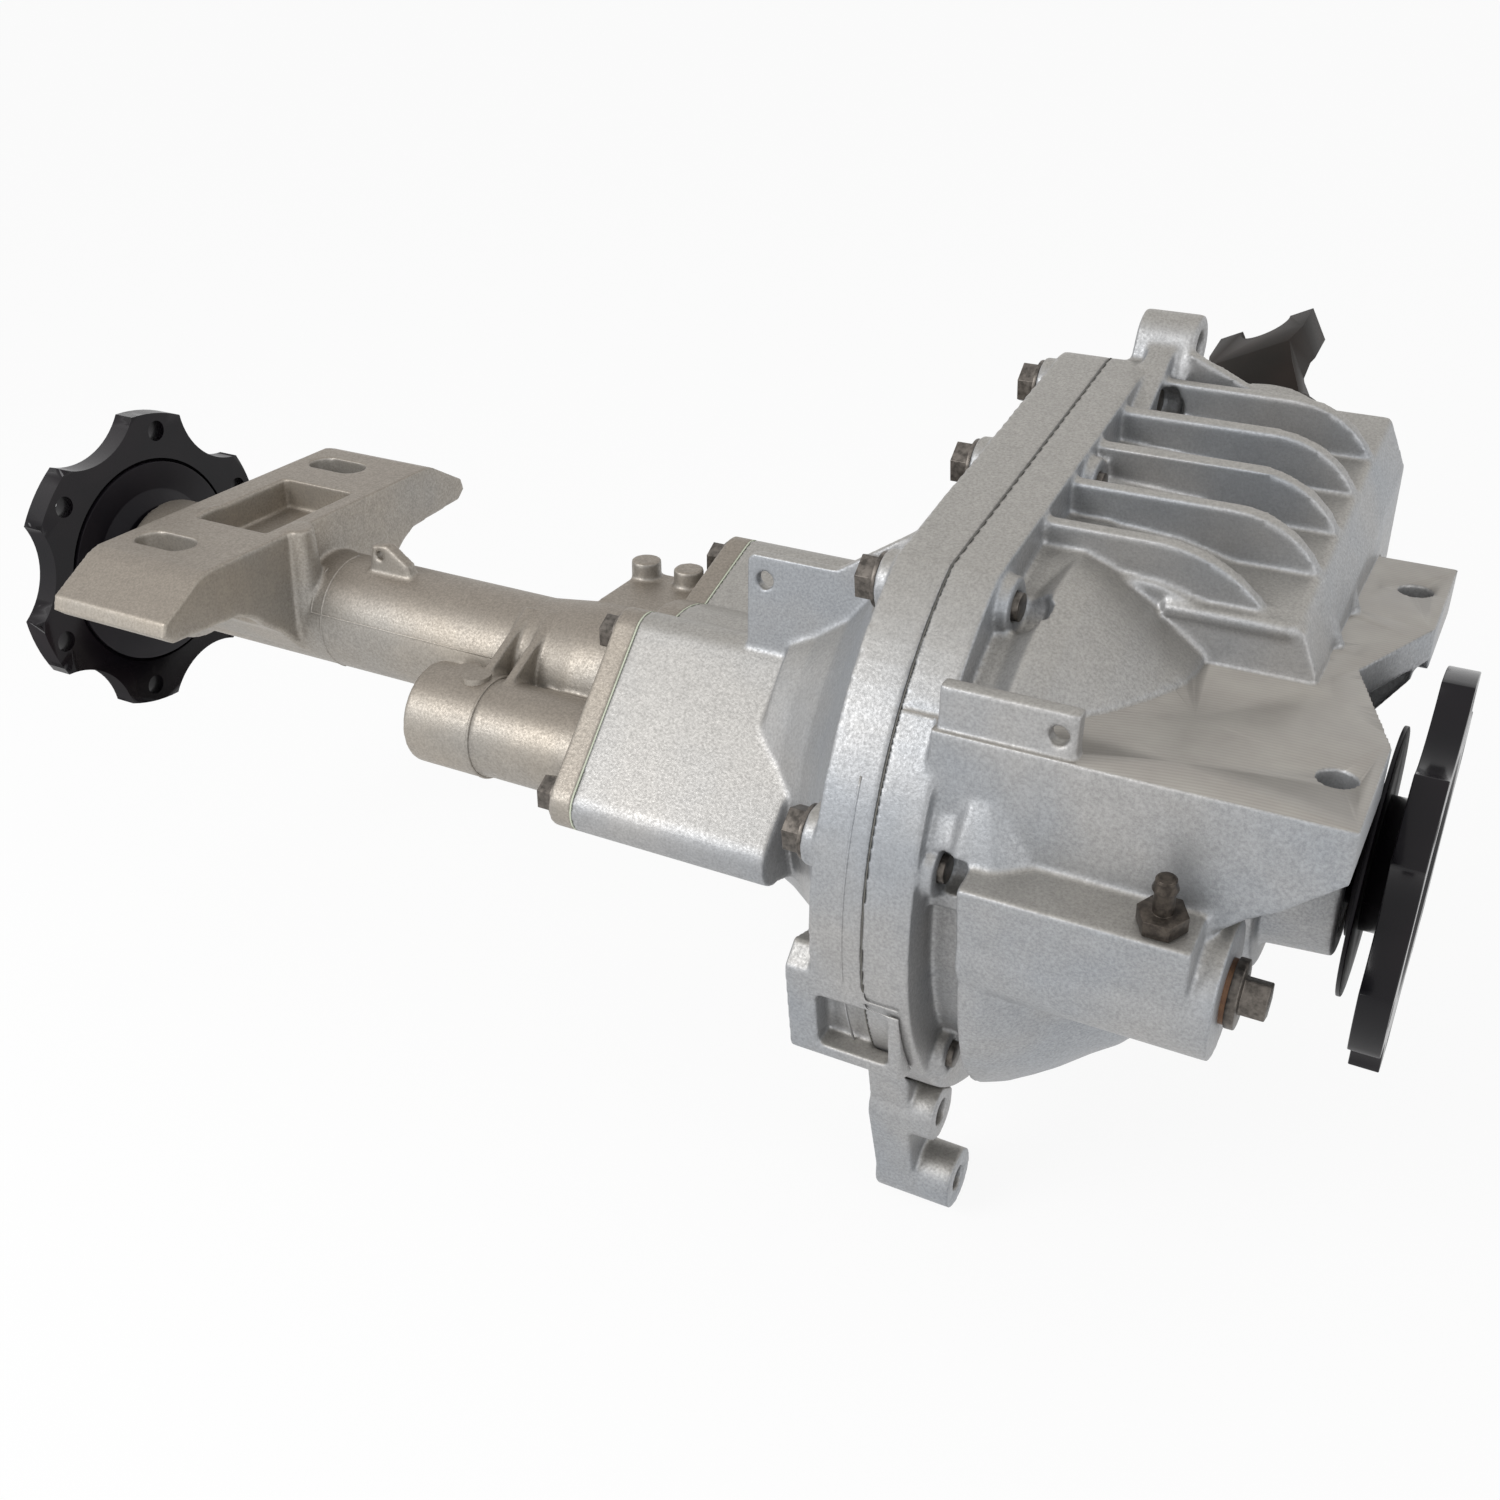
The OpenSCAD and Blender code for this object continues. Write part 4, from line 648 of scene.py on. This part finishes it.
# %% [markdown]
# ## Broken edges on the steel parts
#
# Forged and turned parts have small radii on every edge, and those edges carry the highlights. Each
# visible steel part is copied, its flat faces are joined up again, and its edges get a small bevel.

# %% Bevel the edges of a steel part
FLAT_ANGLE = math.radians(0.6)
EDGE_ANGLE = math.radians(32)
CREASE_ANGLE = math.radians(38)
EDGE_STEPS = 2


def broken_edges(source, width_mm):
    """A copy of a node whose edges sharper than EDGE_ANGLE are rounded to width_mm."""
    obj = own_copy(source + "_finished", source)
    work = bmesh.new()
    work.from_mesh(obj.data)
    bmesh.ops.dissolve_limit(work, angle_limit=FLAT_ANGLE, verts=work.verts, edges=work.edges)
    work.to_mesh(obj.data)
    work.free()
    bevel = obj.modifiers.new("bevel", "BEVEL")
    bevel.width = width_mm * MM
    bevel.segments = EDGE_STEPS
    bevel.limit_method = "ANGLE"
    bevel.angle_limit = EDGE_ANGLE
    done = settle(obj)
    done.materials.clear()
    done.materials.append(finishes[slots[source]])
    done.shade_smooth()
    done.set_sharp_from_angle(angle=CREASE_ANGLE)
    stand_in(obj, source)


edge_widths_mm = {
    "short_output_shaft": 1.2,
    "long_output_shaft": 1.2,
    "yoke": 1.0,
    "case_bolts": 0.5,
    "tube_bolts": 0.5,
    "fill_plug": 0.6,
    "vent_fitting": 0.3,
    "short_slinger": 0.4,
    "long_slinger": 0.4,
}
for source, width in edge_widths_mm.items():
    broken_edges(source, width)
print("edges broken on", len(edge_widths_mm), "steel parts")

# %% [markdown]
# ## Floor, light and camera
#
# The product stands in front of plain white. The floor catches a soft shadow; for what the camera sees,
# and for reflections, it mixes in a white glow, so that it stays white without more light on the axle.
# It is 80 m across, so that its edge is out of the photograph's view.

# %% Floor
FLOOR_HALF = 40.0
FLOOR_DROP = 0.004
FLOOR_GLOW = 0.9

ground = cad_box[0][2] - FLOOR_DROP
corners = ((-1, -1), (1, -1), (1, 1), (-1, 1))
mesh = bpy.data.meshes.new("floor")
mesh.from_pydata([(x * FLOOR_HALF, y * FLOOR_HALF, ground) for x, y in corners], [], [(0, 1, 2, 3)])
floor = put_in_scene("floor", mesh)
mat, tree, shader = material("plain_white_floor")
shader.inputs["Base Color"].default_value = hex_colour("#f7f7f7")
shader.inputs["Roughness"].default_value = 0.9
shader.inputs["Specular IOR Level"].default_value = 0.0


def seen_rays(tree):
    """1 on rays from the camera, in reflections and through glass, 0 on rays that light something."""
    path = add(tree, "ShaderNodeLightPath").outputs
    pair = {0: path["Is Camera Ray"], 1: path["Is Glossy Ray"]}
    either = add(tree, "ShaderNodeMath", pair, operation="MAXIMUM").outputs[0]
    pair = {0: either, 1: path["Is Transmission Ray"]}
    return add(tree, "ShaderNodeMath", pair, operation="MAXIMUM").outputs[0]


share = add(tree, "ShaderNodeMath", {0: seen_rays(tree)}, {1: FLOOR_GLOW}, operation="MULTIPLY").outputs[0]
white = add(tree, "ShaderNodeEmission", values={"Color": (1, 1, 1, 1), "Strength": 1.0}).outputs[0]
blend = add(tree, "ShaderNodeMixShader", {0: share, 1: shader.outputs[0], 2: white}).outputs[0]
tree.links.new(blend, tree.nodes["Material Output"].inputs["Surface"])
mesh.materials.append(mat)
print("floor at", round(ground / MM, 1), "mm")

# %% [markdown]
# The world is white where it is seen, and dimmer as a light, because a full white sky would wash out the
# form of the castings.

# %% World
SKY_LIGHT = 0.62

world = bpy.data.worlds.new("studio")
bpy.context.scene.world = world
world.use_nodes = True
tree = world.node_tree
tree.nodes.clear()
levels = {"To Min": SKY_LIGHT, "To Max": 1.0}
level = add(tree, "ShaderNodeMapRange", {"Value": seen_rays(tree)}, levels).outputs[0]
sky = add(tree, "ShaderNodeBackground", {"Strength": level}, {"Color": (1, 1, 1, 1)}).outputs[0]
add(tree, "ShaderNodeOutputWorld", {"Surface": sky})
print("sky at", SKY_LIGHT, "as a light")

# %% [markdown]
# Two soft square lamps give the castings their form: the key from the front left, above the tube, and a
# weaker fill from the front right. Both point at the middle of the axle.

# %% Lamps
MIDDLE = Vector((-0.3, 0.0, 0.0))


def lamp(name, place, size, watts):
    """A square soft lamp at place, pointed at the axle's middle, all in metres."""
    data = bpy.data.lights.new(name, "AREA")
    data.shape = "SQUARE"
    data.size = size
    data.energy = watts
    obj = put_in_scene(name, data)
    obj.location = place
    obj.rotation_euler = (MIDDLE - Vector(place)).to_track_quat("-Z", "Y").to_euler()


lamp("key", (-1.1, -1.3, 0.9), size=0.8, watts=15.5)
lamp("fill", (1.3, -0.8, 0.5), size=1.2, watts=5)
print("lamps", [light.name for light in bpy.data.lights])

# %% [markdown]
# The camera stands where the photograph was taken from. Its focal length is in the photograph's pixels,
# so it is scaled to the sensor. From looking straight down, it is raised about X, rolled about Y and
# turned about Z.

# %% Camera at the photograph's angle
SENSOR_MM = 36
PHOTO_WIDTH_PX = 1500
FOCAL_PX = 1635.49
CAMERA_PLACE_MM = Vector((10.77, -652.53, 380.01))
CAMERA_TURN = Euler([math.radians(angle) for angle in (61.145, -0.482, 27.543)])

camera_data = bpy.data.cameras.new("camera")
camera_data.sensor_width = SENSOR_MM
camera_data.lens = SENSOR_MM * FOCAL_PX / PHOTO_WIDTH_PX
camera = put_in_scene("camera", camera_data)
camera.matrix_world = Matrix.Translation(CAMERA_PLACE_MM * MM) @ CAMERA_TURN.to_matrix().to_4x4()
bpy.context.scene.camera = camera
bpy.context.scene.view_settings.view_transform = "Standard"
print("camera lens", round(camera_data.lens, 2), "mm")
